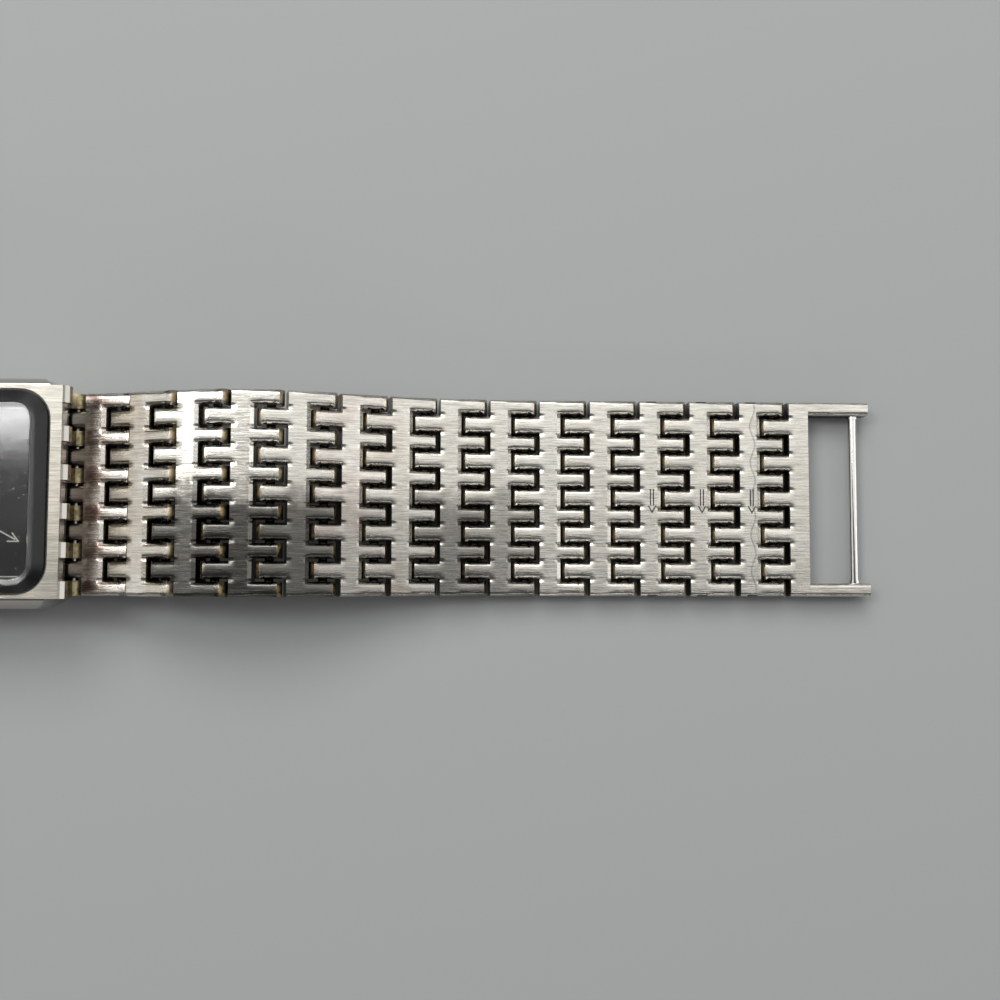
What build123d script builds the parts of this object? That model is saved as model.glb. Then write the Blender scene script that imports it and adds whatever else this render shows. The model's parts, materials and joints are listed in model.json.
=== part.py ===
from build123d import *
import os
from math import asin, cos, degrees, hypot, pi, radians, sin

# A rectangular quartz watch on a comb-link bracelet, laid open on its back.
# X runs along the bracelet, Y across it, Z up. The origin is the centre of the case back's flat face.

# Bracelet
band_width = 18.0
link_pitch = 4.63
link_thickness = 2.2
far_fingers = 6
finger_gap = 0.25
finger_width_step = 0.2
far_flat = 0.25
near_flat = 0.5
nose_gap = 0.16
edge_round = 0.36
spine_bevel_width = 0.32
spine_bevel_depth = 0.2
pin_radius = 0.4
pin_clearance = 0.03
pin_end_recess = 0.15
links_right = 14
links_left = 10
arrow_links = 3
arrow_offset = 0.12
arrow_tip_place = -1.42
arrow_head_length = 0.72
arrow_head_width = 0.8
arrow_shaft_length = 1.55
arrow_shaft_width = 0.38
arrow_line_width = 0.11
arrow_depth = 0.12

# Rest pose: how high each hinge pin lies above the flat links, as a share of the case pins' lift
right_lift_shares = (1.0, 1.66, 2.82, 3.51, 3.42, 2.6, 1.53, 0.64, 0.25)
left_lift_shares = (1.0, 0.87, 0.47, 0.13)

# End frame with its free bar
frame_cross_width = 1.78
frame_opening = 4.1
frame_arm_width = 1.2
frame_arm_overhang = 0.72
frame_corner_radius = 0.9
bar_radius = 0.415
bar_collar_radius = 0.52
bar_collar_length = 0.25
bar_tip_radius = 0.3
bar_tip_length = 0.7
bar_tip_clearance = 0.02

# Case
plate_length = 27.6
plate_width = 18.3
plate_top = 7.5
plate_thickness = 1.2
plate_end_bevel = 0.45
plate_slot_depth = 0.45
plate_overhang = 0.8
case_pin_height = 2.6
flank_bulge_width = 20.3
flank_bulge_height = 4.6
flank_foot_width = 18.2
flank_top_width = 18.6
flank_step = 0.3
flank_corner_radius = 2.4
end_wall_setback = 0.35
end_block_depth = 2.2
cavity_length = 21.8
cavity_width = 16.0
cavity_radius = 1.5
cavity_height = 4.6
dial_opening_length = 21.0
dial_opening_width = 15.2
dial_opening_radius = 1.4
crystal_seat_length = 24.8
crystal_seat_width = 17.7
crystal_seat_radius = 2.7
crystal_seat_depth = 1.0
crystal_gap = 0.2
crystal_rise = 1.0
crystal_edge_rise = 0.2
crystal_rim_width = 1.15
gasket_clearance = 0.01

# Case back
back_thickness = 0.8
back_length = 24.4
back_width = 17.8
back_radius = 2.4
back_edge_bevel = 0.3
back_rim_height = 0.35
back_rim_wall = 0.5
back_gasket_width = 0.4

# Dial and hands
dial_thickness = 0.4
dial_edge_gap = 0.2
dial_hole_radius = 0.75
marker_count = 12
marker_circle_radius = 5.6
marker_length = 1.3
marker_width = 0.3
marker_height = 0.12
hour_hand_length = 4.3
hour_hand_width = 0.75
minute_hand_length = 6.3
minute_hand_width = 0.6
hand_tail = 1.2
hand_hub_radius = 0.85
hand_thickness = 0.15
hour_hand_rise = 0.3
hand_spacing = 0.32
hour_hand_angle = 55.0
minute_hand_angle = 300.0

# Movement
holder_edge_gap = 0.1
holder_seat_width = 0.35
plate_blank_length = 16.8
plate_blank_width = 12.8
plate_blank_radius = 1.0
plate_blank_thickness = 1.0
plate_blank_bottom = 3.2
plate_blank_gap = 0.05
bridge_thickness = 0.3
bridge_bottom = 1.45
bridge_length = 7.0
bridge_width = 9.1
bridge_centre = (1.8, 1.45)
pillar_radius = 0.36
pillar_places = ((-1.15, 5.6), (4.65, 5.3), (4.65, -2.7))
screw_head_radius = 0.4
screw_head_height = 0.22
screw_shank_radius = 0.2
screw_shank_length = 1.3
screw_clearance = 0.02
arbor_radius = 0.2
pivot_clearance = 0.02
pivot_depth = 0.5
battery_radius = 2.9
battery_height = 2.15
battery_centre = (-5.0, -3.0)
battery_step = 0.25
strap_width = 1.6
coil_radius = 0.8
coil_core_radius = 0.3
coil_length = 7.0
coil_core_length = 9.0
coil_x = 6.7
board_length = 5.2
board_width = 5.0
board_thickness = 0.2
board_centre = (-5.4, 3.4)
can_radius = 0.7
can_length = 4.6
stator_thickness = 0.3
stator_bottom = 1.88
stator_width = 1.5
stator_lug_radius = 0.7
stator_air_gap = 0.12
rotor_radius = 0.5
rotor_height = 0.34

# Wheels: tooth counts, with a module for each pair that meshes
motion_module = 0.11
train_module = 0.1
rotor_module = 0.09
cannon_teeth = 12
minute_wheel_teeth = 36
minute_pinion_teeth = 9
hour_wheel_teeth = 36
centre_wheel_teeth = 48
third_pinion_teeth = 8
third_wheel_teeth = 50
rotor_pinion_teeth = 10
wheel_thickness = 0.2
train_low_rise = 0.55
train_top_gap = 0.2
cannon_height = 0.3
cannon_tube_radius = 0.35
hour_tube_radius = 0.58
post_gap = 0.1
tooth_addendum_share = 0.75
tooth_dedendum_share = 1.2
tooth_root_share = 0.46
tooth_tip_share = 0.2
third_wheel_direction = 40.0
rotor_direction = 100.0
minute_wheel_direction = -90.0

# Stem and crown
stem_height = 2.45
stem_radius = 0.38
stem_inner_end = 3.9
stem_groove_radius = 0.22
stem_groove_place = 4.6
stem_groove_width = 0.36
lever_thickness = 0.3
lever_drop = 0.6
lever_width = 1.4
lever_clearance = 0.03
crown_radius = 1.7
crown_length = 1.5
crown_gap = 0.1
crown_sleeve_radius = 0.75
crown_sleeve_length = 2.0
crown_bore_clearance = 0.04
crown_flutes = 24
crown_flute_radius = 0.14
crown_dome_bevel = 0.25
stem_reach_into_crown = 1.5

# Clasp on the other end of the bracelet
clasp_cross_width = 1.9
clasp_floor_length = 13.2
clasp_floor_thickness = 0.6
clasp_wall_thickness = 0.75
clasp_hinge_place = 19.0
cover_gap = 0.1
cover_thickness = 0.8
cover_start_gap = 0.3
cover_tail = 3.6
cover_edge_round = 0.3
cover_lug_radius = 1.0
cover_lug_width = 1.2
cover_lug_gap = 0.25
hinge_pin_radius = 0.45
hook_width = 12.0
hook_throat_clearance = 0.1
hook_wall = 0.45
hook_reach = 2.4
hook_wrap_angle = 240.0
latch_place = 6.6
latch_length = 1.6
latch_width = 4.0
latch_gap = 0.05
latch_round = 0.5

# Sizes worked out from the ones above
rows = 2 * far_fingers - 1
far_width = (band_width - (rows - 1) * finger_gap - (far_fingers - 1) * finger_width_step) / rows
near_width = far_width + finger_width_step
row_step = (far_width + near_width) / 2 + finger_gap
half_link = link_thickness / 2
far_nose = hypot(half_link, far_flat)
near_nose = hypot(half_link, near_flat)
spine_start = max(near_nose, far_nose) + nose_gap
spine_end = link_pitch - spine_start
pin_bore = pin_radius + pin_clearance
pin_length = band_width - 2 * pin_end_recess
overrun = link_pitch
case_pin_x = plate_length / 2 - plate_overhang
case_pin_lift = case_pin_height - half_link
crystal_seat_floor = plate_top - crystal_seat_depth
cavity_roof = back_thickness + cavity_height
dial_bottom = cavity_roof - dial_thickness
holder_bottom = back_thickness + back_rim_height
blank_top = plate_blank_bottom + plate_blank_thickness


def row_centres(first_row):
    """The middle of every second row of fingers across the band, from first_row on."""
    return [(n - (rows - 1) / 2) * row_step for n in range(first_row, rows, 2)]


def finger_slots(first_row, row_width, x_from, x_to):
    """Draws the slots that free the fingers of one end of a comb, in a plan sketch."""
    middle = (x_from + x_to) / 2
    with Locations(*[(middle, y) for y in row_centres(first_row)]):
        Rectangle(x_to - x_from, row_width + 2 * finger_gap)


def near_slots():
    """Slots on the case side, where the neighbour's far fingers reach in."""
    finger_slots(0, far_width, -overrun, spine_start)


def far_slots(x_from, x_to):
    """Slots on the side away from the case, where the neighbour's near fingers reach in."""
    finger_slots(1, near_width, x_from, x_to)


def nose_profile(reach, radius):
    """Draws a finger's side view: a bar from the pin's axis to reach, with a round nose about the axis."""
    Circle(radius)
    with Locations((reach / 2, 0)):
        Rectangle(abs(reach), link_thickness)
    Rectangle(2 * (abs(reach) + radius), link_thickness, mode=Mode.INTERSECT)


def soften_finger_tops(part):
    """Rounds the top edges that run along the band."""
    fillet(part.edges().filter_by(Axis.X).group_by(Axis.Z)[-1], radius=edge_round)


def hinge_plane(x, z, slope, side):
    """A plane on a hinge axis: its X runs along the band away from the case, its Z out of the band's face."""
    return Plane(
        origin=(x, 0, z),
        x_dir=(side * cos(slope), 0, sin(slope)),
        z_dir=(-side * sin(slope), 0, cos(slope)),
    )


def chain(side, lift_shares, count):
    """The hinge planes of one half of the bracelet, from the case pin out; the last one carries the end piece."""
    def lift(n):
        return case_pin_lift * (lift_shares[n] if n < len(lift_shares) else 0)

    planes = []
    x = side * case_pin_x
    for n in range(count):
        slope = asin((lift(n + 1) - lift(n)) / link_pitch)
        planes.append(hinge_plane(x, half_link + lift(n), slope, side))
        x += side * link_pitch * cos(slope)
    planes.append(hinge_plane(x, half_link + lift(count), 0, side))
    return planes


def polar(centre, distance, direction):
    """A point at a distance and a direction in degrees from a centre."""
    turn = radians(direction)
    return (centre[0] + distance * cos(turn), centre[1] + distance * sin(turn))


def wheel_radius(teeth, module):
    return teeth * module / 2


def toothed_disc(teeth, module, phase):
    """Draws a wheel's face with one trapezoid tooth pointing at phase degrees."""
    pitch_radius = wheel_radius(teeth, module)
    root = pitch_radius - tooth_dedendum_share * module
    tip = pitch_radius + tooth_addendum_share * module
    pitch_angle = 360 / teeth
    root_half = tooth_root_share * pitch_angle / 2
    tip_half = tooth_tip_share * pitch_angle / 2
    outline = []
    for n in range(teeth):
        middle = phase + n * pitch_angle
        outline.append(polar((0, 0), root, middle - root_half))
        outline.append(polar((0, 0), tip, middle - tip_half))
        outline.append(polar((0, 0), tip, middle + tip_half))
        outline.append(polar((0, 0), root, middle + root_half))
    with BuildLine() as rim:
        Polyline(*outline, close=True)
    make_face(rim.edges())


def write(name, part):
    part.label = name
    export_step(part, f"parts/{name}.step")


os.makedirs("parts", exist_ok=True)

# One link: a solid spine with far fingers towards the clasp side and near fingers towards the case
with BuildPart() as link_form:
    with BuildSketch(Plane.XZ):
        nose_profile(link_pitch, near_nose)
        with Locations((link_pitch, 0)):
            Circle(far_nose)
        Rectangle(2 * (link_pitch + far_nose), link_thickness, mode=Mode.INTERSECT)
        Circle(pin_bore, mode=Mode.SUBTRACT)
        with Locations((link_pitch, 0)):
            Circle(pin_radius, mode=Mode.SUBTRACT)
    extrude(amount=band_width / 2, both=True)
    with BuildSketch():
        near_slots()
        far_slots(spine_end, link_pitch + overrun)
    extrude(amount=link_thickness, both=True, mode=Mode.SUBTRACT)
    soften_finger_tops(link_form)
    spine_edges = link_form.edges().filter_by(Axis.Y).group_by(Axis.Z)[-1]
    chamfer(spine_edges.filter_by_position(Axis.X, spine_end - nose_gap, spine_end + nose_gap),
            length=spine_bevel_width, length2=spine_bevel_depth,
            reference=link_form.faces().sort_by(Axis.Z)[-1])

# One hinge pin, on the Y axis
with BuildPart() as pin_form:
    with BuildSketch(Plane.XZ):
        Circle(pin_radius)
    extrude(amount=pin_length / 2, both=True)


# The outline arrow cut into the last right-hand links, to show which way the pins come out
arrow_head_top = arrow_tip_place + arrow_head_length
arrow_side = hypot(arrow_head_width / 2, arrow_head_length)
arrow_foot = arrow_line_width * arrow_side / arrow_head_length
arrow_notch = arrow_line_width * arrow_side / (arrow_head_width / 2)
with BuildPart() as arrow_form:
    with BuildSketch(Plane.XY.offset(half_link - arrow_depth)):
        with Locations((link_pitch / 2 + arrow_offset, arrow_head_top)):
            Polygon(
                (-arrow_head_width / 2, 0), (0, -arrow_head_length), (arrow_head_width / 2, 0),
                (arrow_head_width / 2 - arrow_foot, 0), (0, arrow_notch - arrow_head_length),
                (arrow_foot - arrow_head_width / 2, 0), align=None,
            )
            with Locations((0, arrow_shaft_length / 2)):
                Rectangle(arrow_shaft_width, arrow_shaft_length)
                Rectangle(arrow_shaft_width - 2 * arrow_line_width, arrow_shaft_length, mode=Mode.SUBTRACT)
    extrude(amount=2 * arrow_depth)


def make_link(name, near_plane, arrow):
    """A link where it rests, with the pin that its far fingers grip."""
    with BuildPart(near_plane) as link:
        add(link_form.part)
        with Locations((link_pitch, 0, 0)):
            add(pin_form.part)
        if arrow:
            add(arrow_form.part, mode=Mode.SUBTRACT)
    write(name, link.part)


def make_case_pin(name, near_plane):
    with BuildPart(near_plane) as case_pin:
        add(pin_form.part)
    write(name, case_pin.part)


right_planes = chain(1, right_lift_shares, links_right)
left_planes = chain(-1, left_lift_shares, links_left)
for number in range(links_right):
    make_link(f"link_right_{number + 1:02d}", right_planes[number], number >= links_right - arrow_links)
for number in range(links_left):
    make_link(f"link_left_{number + 1:02d}", left_planes[number], False)
make_case_pin("case_pin_right", right_planes[0])
make_case_pin("case_pin_left", left_planes[0])

# End frame: near fingers, a cross-piece and two arms that hold the free bar
frame_cross_end = spine_start + frame_cross_width
bar_x = frame_cross_end + frame_opening + bar_radius
frame_length = bar_x + bar_radius + frame_arm_overhang
frame_inner_width = band_width - 2 * frame_arm_width
with BuildPart() as end_frame_form:
    with BuildSketch(Plane.XZ):
        nose_profile(frame_length, near_nose)
        Circle(pin_bore, mode=Mode.SUBTRACT)
    extrude(amount=band_width / 2, both=True)
    lower_end = end_frame_form.edges().filter_by(Axis.Y).group_by(Axis.X)[-1].sort_by(Axis.Z)[0]
    fillet(lower_end, radius=frame_corner_radius)
    with BuildSketch():
        near_slots()
        with Locations(((frame_cross_end + frame_length + overrun) / 2, 0)):
            Rectangle(frame_length + overrun - frame_cross_end, frame_inner_width)
    extrude(amount=link_thickness, both=True, mode=Mode.SUBTRACT)
    soften_finger_tops(end_frame_form)
    with Locations((bar_x, 0, 0)):
        Cylinder(bar_tip_radius + bar_tip_clearance, frame_inner_width + 2 * bar_tip_length,
                 rotation=(90, 0, 0), mode=Mode.SUBTRACT)
with BuildPart(right_planes[-1]) as end_frame:
    add(end_frame_form.part)
write("end_frame", end_frame.part)

# The free bar: a rod with a collar at each end and tips that sit in the arms
bar_half = frame_inner_width / 2 - bar_tip_clearance
with BuildPart() as bar_form:
    with BuildSketch():
        with BuildLine():
            Polyline(
                (0, -bar_half - bar_tip_length), (bar_tip_radius, -bar_half - bar_tip_length),
                (bar_tip_radius, -bar_half), (bar_collar_radius, -bar_half),
                (bar_collar_radius, -bar_half + bar_collar_length),
                (bar_radius, -bar_half + bar_collar_length),
                (bar_radius, bar_half - bar_collar_length),
                (bar_collar_radius, bar_half - bar_collar_length),
                (bar_collar_radius, bar_half), (bar_tip_radius, bar_half),
                (bar_tip_radius, bar_half + bar_tip_length), (0, bar_half + bar_tip_length),
                close=True,
            )
        make_face()
    revolve(axis=Axis.Y)
with BuildPart(right_planes[-1]) as frame_bar:
    with Locations((bar_x, 0, 0)):
        add(bar_form.part)
write("frame_bar", frame_bar.part)

# Case body: a cushion-sided shell with a flat plate on top and a comb of fingers at each end
flank_length = 2 * (case_pin_x - end_wall_setback)
flank_top = plate_top - flank_step
slot_start = plate_length / 2 - plate_slot_depth
crown_bore = crown_sleeve_radius + crown_bore_clearance


def end_sketch_planes(side, centres):
    """Planes on a case pin's axis, X away from the case, one for each place along the axis."""
    return [
        Plane(origin=(side * case_pin_x, y, case_pin_height), x_dir=(side, 0, 0), z_dir=(0, -side, 0))
        for y in centres
    ]


with BuildPart() as case_body:
    with BuildSketch(Plane.YZ):
        with BuildLine():
            foot, top = flank_foot_width / 2, flank_top_width / 2
            bulge = flank_bulge_width / 2
            Line((-foot, back_thickness), (foot, back_thickness))
            ThreePointArc((foot, back_thickness), (bulge, flank_bulge_height), (top, flank_top))
            Line((top, flank_top), (-top, flank_top))
            ThreePointArc((-top, flank_top), (-bulge, flank_bulge_height), (-foot, back_thickness))
        make_face()
    extrude(amount=flank_length / 2, both=True)
    with BuildSketch(Plane.XY.offset(back_thickness)):
        RectangleRounded(flank_length, flank_bulge_width, flank_corner_radius)
    extrude(amount=plate_top, mode=Mode.INTERSECT)
    with BuildSketch(Plane.XY.offset(plate_top)):
        Rectangle(plate_length, plate_width)
    extrude(amount=-plate_thickness)
    for side in (1, -1):
        with BuildSketch(*end_sketch_planes(side, [0])):
            nose_profile(-end_block_depth, far_nose)
        extrude(amount=band_width / 2, both=True)
    plate_ends = case_body.edges().filter_by(Axis.Y).group_by(Axis.Z)[-1]
    chamfer(plate_ends, length=plate_end_bevel)
    for side in (1, -1):
        with BuildSketch(*end_sketch_planes(side, row_centres(1))):
            Circle(spine_start)
            with Locations((slot_start - case_pin_x + overrun / 2, plate_top / 2)):
                Rectangle(overrun, plate_top)
            with Locations((overrun / 2 - end_wall_setback, 0)):
                Rectangle(overrun, 2 * spine_start)
        extrude(amount=near_width / 2 + finger_gap, both=True, mode=Mode.SUBTRACT)
        with BuildSketch(*end_sketch_planes(side, [0])):
            Circle(pin_radius)
        extrude(amount=band_width, both=True, mode=Mode.SUBTRACT)
    with BuildSketch(Plane.XY.offset(back_thickness)):
        RectangleRounded(cavity_length, cavity_width, cavity_radius)
    extrude(amount=cavity_height, mode=Mode.SUBTRACT)
    with BuildSketch(Plane.XY.offset(cavity_roof)):
        RectangleRounded(dial_opening_length, dial_opening_width, dial_opening_radius)
    extrude(amount=plate_top, mode=Mode.SUBTRACT)
    with BuildSketch(Plane.XY.offset(crystal_seat_floor)):
        RectangleRounded(crystal_seat_length, crystal_seat_width, crystal_seat_radius)
    extrude(amount=plate_top, mode=Mode.SUBTRACT)
    with BuildSketch(Plane.XZ):
        with Locations((0, stem_height)):
            Circle(crown_bore)
    extrude(amount=flank_bulge_width, mode=Mode.SUBTRACT)
write("case_body", case_body.part)


def tray_ring(z, height, outer, inner):
    """A rounded rectangular ring; outer and inner are each (length, width, corner radius)."""
    with BuildPart() as ring:
        with BuildSketch(Plane.XY.offset(z)):
            RectangleRounded(*outer)
            RectangleRounded(*inner, mode=Mode.SUBTRACT)
        extrude(amount=height)
    return ring.part


def inset(outline, step):
    """A rounded rectangle drawn in on every side; its corners keep at least half their radius."""
    length, width, radius = outline
    return (length - 2 * step, width - 2 * step, max(radius - step, radius / 2))


# Case back, snapped in from below, with its gasket
cavity_outline = (cavity_length, cavity_width, cavity_radius)
rim_outline = inset(cavity_outline, back_gasket_width)
with BuildPart() as case_back:
    with BuildSketch():
        RectangleRounded(back_length, back_width, back_radius)
    extrude(amount=back_thickness)
    chamfer(case_back.faces().sort_by(Axis.Z)[0].edges(), length=back_edge_bevel)
    with BuildSketch(Plane.XY.offset(back_thickness)):
        RectangleRounded(*rim_outline)
        RectangleRounded(*inset(rim_outline, back_rim_wall), mode=Mode.SUBTRACT)
    extrude(amount=back_rim_height)
write("case_back", case_back.part)
write("back_gasket", tray_ring(back_thickness, back_rim_height,
                               inset(cavity_outline, gasket_clearance),
                               inset(rim_outline, -gasket_clearance)))

# Crystal with a bevelled rim, and the ring that seals it
seat_outline = (crystal_seat_length, crystal_seat_width, crystal_seat_radius)
crystal_outline = inset(seat_outline, crystal_gap)
crystal_top = plate_top + crystal_rise
with BuildPart() as crystal:
    with BuildSketch(Plane.XY.offset(crystal_seat_floor)):
        RectangleRounded(*crystal_outline)
    extrude(amount=crystal_top - crystal_seat_floor)
    crystal_face = crystal.faces().sort_by(Axis.Z)[-1]
    chamfer(crystal_face.edges(), length=crystal_rim_width,
            length2=crystal_rise - crystal_edge_rise, reference=crystal_face)
write("crystal", crystal.part)
write("crystal_gasket", tray_ring(crystal_seat_floor, crystal_seat_depth - crystal_gap,
                                  inset(seat_outline, gasket_clearance),
                                  inset(crystal_outline, -gasket_clearance)))

# Dial with a ring of raised markers
with BuildPart() as dial:
    with BuildSketch(Plane.XY.offset(dial_bottom)):
        RectangleRounded(*inset(cavity_outline, dial_edge_gap))
        Circle(dial_hole_radius, mode=Mode.SUBTRACT)
    extrude(amount=dial_thickness)
write("dial", dial.part)
with BuildPart() as dial_markers:
    with BuildSketch(Plane.XY.offset(cavity_roof)):
        with PolarLocations(marker_circle_radius, marker_count):
            Rectangle(marker_length, marker_width)
    extrude(amount=marker_height)
write("dial_markers", dial_markers.part)


def hand(z, length, width, direction, bore):
    """A tapered hand with a round hub, pointing along direction in degrees."""
    with BuildPart() as blade:
        with BuildSketch(Plane.XY.offset(z)):
            with BuildLine():
                Polyline(
                    polar((0, 0), hand_tail, direction + 180),
                    polar((0, 0), width / 2, direction - 90),
                    polar((0, 0), length, direction),
                    polar((0, 0), width / 2, direction + 90),
                    close=True,
                )
            make_face()
            Circle(hand_hub_radius)
            Circle(bore, mode=Mode.SUBTRACT)
        extrude(amount=hand_thickness)
    return blade.part


hour_hand_z = cavity_roof + hour_hand_rise
minute_hand_z = hour_hand_z + hand_spacing
write("hour_hand", hand(hour_hand_z, hour_hand_length, hour_hand_width, hour_hand_angle,
                        hour_tube_radius))
write("minute_hand", hand(minute_hand_z, minute_hand_length, minute_hand_width, minute_hand_angle,
                          cannon_tube_radius))

# Movement: holder, main plate and train bridge
blank_outline = (plate_blank_length, plate_blank_width, plate_blank_radius)
bridge_top = bridge_bottom + bridge_thickness
with BuildPart() as movement_holder:
    with BuildSketch(Plane.XY.offset(holder_bottom)):
        RectangleRounded(*inset(cavity_outline, holder_edge_gap))
        RectangleRounded(*inset(blank_outline, holder_seat_width), mode=Mode.SUBTRACT)
    extrude(amount=dial_bottom - holder_bottom)
    with BuildSketch(Plane.XY.offset(plate_blank_bottom)):
        RectangleRounded(*inset(blank_outline, -plate_blank_gap))
    extrude(amount=dial_bottom, mode=Mode.SUBTRACT)
    with BuildSketch(Plane.XZ):
        with Locations((0, stem_height)):
            Circle(crown_sleeve_radius)
    extrude(amount=cavity_width, mode=Mode.SUBTRACT)
write("movement_holder", movement_holder.part)

third_place = polar((0, 0), wheel_radius(centre_wheel_teeth + third_pinion_teeth, train_module),
                    third_wheel_direction)
rotor_place = polar(third_place, wheel_radius(third_wheel_teeth + rotor_pinion_teeth, rotor_module),
                    rotor_direction)
minute_place = polar((0, 0), wheel_radius(cannon_teeth + minute_wheel_teeth, motion_module),
                     minute_wheel_direction)
hour_module = motion_module * (cannon_teeth + minute_wheel_teeth) / (
    minute_pinion_teeth + hour_wheel_teeth)
post_top = dial_bottom - post_gap
with BuildPart() as main_plate:
    with BuildSketch(Plane.XY.offset(plate_blank_bottom)):
        RectangleRounded(*blank_outline)
    extrude(amount=plate_blank_thickness)
    with BuildSketch(Plane.XY.offset(bridge_top)):
        with Locations(*pillar_places):
            Circle(pillar_radius)
    extrude(amount=plate_blank_bottom - bridge_top)
    with BuildSketch(Plane.XY.offset(bridge_top)):
        with Locations(*pillar_places):
            Circle(screw_shank_radius + screw_clearance)
    extrude(amount=screw_shank_length, mode=Mode.SUBTRACT)
    with BuildSketch(Plane.XY.offset(plate_blank_bottom)):
        with Locations(third_place, rotor_place):
            Circle(arbor_radius + pivot_clearance)
    extrude(amount=pivot_depth, mode=Mode.SUBTRACT)
    with BuildSketch(Plane.XY.offset(plate_blank_bottom)):
        Circle(arbor_radius + pivot_clearance)
    extrude(amount=plate_blank_thickness, mode=Mode.SUBTRACT)
    with BuildSketch(Plane.XY.offset(blank_top)):
        with Locations(minute_place):
            Circle(arbor_radius)
    extrude(amount=post_top - blank_top)
write("main_plate", main_plate.part)
with BuildPart() as train_bridge:
    with BuildSketch(Plane.XY.offset(bridge_bottom)):
        with Locations(bridge_centre):
            Rectangle(bridge_length, bridge_width)
        with Locations(*pillar_places):
            Circle(screw_shank_radius + screw_clearance, mode=Mode.SUBTRACT)
        with Locations((0, 0), third_place, rotor_place):
            Circle(arbor_radius + pivot_clearance, mode=Mode.SUBTRACT)
    extrude(amount=bridge_thickness)
write("train_bridge", train_bridge.part)
with BuildPart() as movement_screws:
    with BuildSketch(Plane.XY.offset(bridge_bottom - screw_head_height)):
        with Locations(*pillar_places):
            Circle(screw_head_radius)
    extrude(amount=screw_head_height)
    with BuildSketch(Plane.XY.offset(bridge_bottom)):
        with Locations(*pillar_places):
            Circle(screw_shank_radius)
    extrude(amount=screw_shank_length)
write("movement_screws", movement_screws.part)

# Power: battery with its contact strap, coil, stator, circuit board and quartz can
battery_bottom = plate_blank_bottom - battery_height
strap_thickness = battery_bottom - back_thickness
with BuildPart() as battery:
    with BuildSketch(Plane.XY.offset(battery_bottom)):
        with Locations(battery_centre):
            Circle(battery_radius)
    extrude(amount=battery_height - battery_step)
    with BuildSketch(Plane.XY.offset(battery_bottom + battery_height - battery_step)):
        with Locations(battery_centre):
            Circle(battery_radius - battery_step)
    extrude(amount=battery_step)
write("battery", battery.part)
with BuildPart() as battery_strap:
    with BuildSketch(Plane.XY.offset(back_thickness)):
        with Locations(battery_centre):
            SlotCenterToCenter(battery_radius, strap_width, rotation=90)
    extrude(amount=strap_thickness)
write("battery_strap", battery_strap.part)
stator_edge = rotor_place[1] - stator_width / 2
coil_y = stator_edge - coil_core_length / 2
coil_height = plate_blank_bottom - coil_radius
with BuildPart() as coil:
    with BuildSketch(Plane.XZ.offset(-coil_y)):
        with Locations((coil_x, coil_height)):
            Circle(coil_core_radius)
    extrude(amount=coil_core_length / 2, both=True)
    with BuildSketch(Plane.XZ.offset(-coil_y)):
        with Locations((coil_x, coil_height)):
            Circle(coil_radius)
    extrude(amount=coil_length / 2, both=True)
write("coil", coil.part)
stator_from = rotor_place[0] - stator_width / 2
stator_to = coil_x + coil_radius
with BuildPart() as stator:
    with BuildSketch(Plane.XY.offset(stator_bottom)):
        with Locations(((stator_from + stator_to) / 2, rotor_place[1])):
            Rectangle(stator_to - stator_from, stator_width)
        with Locations(pillar_places[1]):
            Circle(stator_lug_radius)
            Circle(pillar_radius, mode=Mode.SUBTRACT)
        with Locations(rotor_place):
            Circle(rotor_radius + stator_air_gap, mode=Mode.SUBTRACT)
    extrude(amount=stator_thickness)
write("stator", stator.part)
board_bottom = plate_blank_bottom - board_thickness
with BuildPart() as circuit_board:
    with BuildSketch(Plane.XY.offset(board_bottom)):
        with Locations(board_centre):
            Rectangle(board_length, board_width)
    extrude(amount=board_thickness)
write("circuit_board", circuit_board.part)
with BuildPart() as quartz_can:
    with Locations((board_centre[0], board_centre[1] + can_radius, board_bottom - can_radius)):
        Cylinder(can_radius, can_length, rotation=(0, 90, 0))
write("quartz_can", quartz_can.part)


def mesh_phase(teeth, phase, other_teeth, direction):
    """Where the other wheel's first tooth points so that it sits in a gap; direction runs to it."""
    share = (direction - phase) * teeth / 360
    return direction + 180 - (0.5 - share % 1) * 360 / other_teeth


def round_layer(centre, z, height, radius):
    with BuildSketch(Plane.XY.offset(z)) as face:
        with Locations(centre):
            Circle(radius)
    extrude(face.sketch, amount=height)


def toothed_layer(centre, z, height, teeth, module, phase):
    with BuildSketch(Plane.XY.offset(z)) as face:
        toothed_disc(teeth, module, phase)
    extrude(face.sketch.moved(Location((centre[0], centre[1], 0))), amount=height)


# Going train under the main plate, motion work above it
train_low = bridge_top + train_low_rise
train_high = plate_blank_bottom - train_top_gap - wheel_thickness
arbor_bottom = bridge_bottom + pivot_clearance
arbor_top = plate_blank_bottom + pivot_depth - pivot_clearance
cannon_bottom = blank_top + pivot_clearance
hour_wheel_bottom = cannon_bottom + cannon_height + pivot_clearance
minute_wheel_bottom = cannon_bottom + pivot_clearance
origin = (0, 0)
with BuildPart() as centre_wheel:
    round_layer(origin, arbor_bottom, cannon_bottom - arbor_bottom, arbor_radius)
    toothed_layer(origin, train_high, wheel_thickness, centre_wheel_teeth, train_module, 0)
    toothed_layer(origin, cannon_bottom, cannon_height, cannon_teeth, motion_module, 0)
    round_layer(origin, cannon_bottom, minute_hand_z + hand_thickness - cannon_bottom,
                cannon_tube_radius)
write("centre_wheel", centre_wheel.part)

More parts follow.
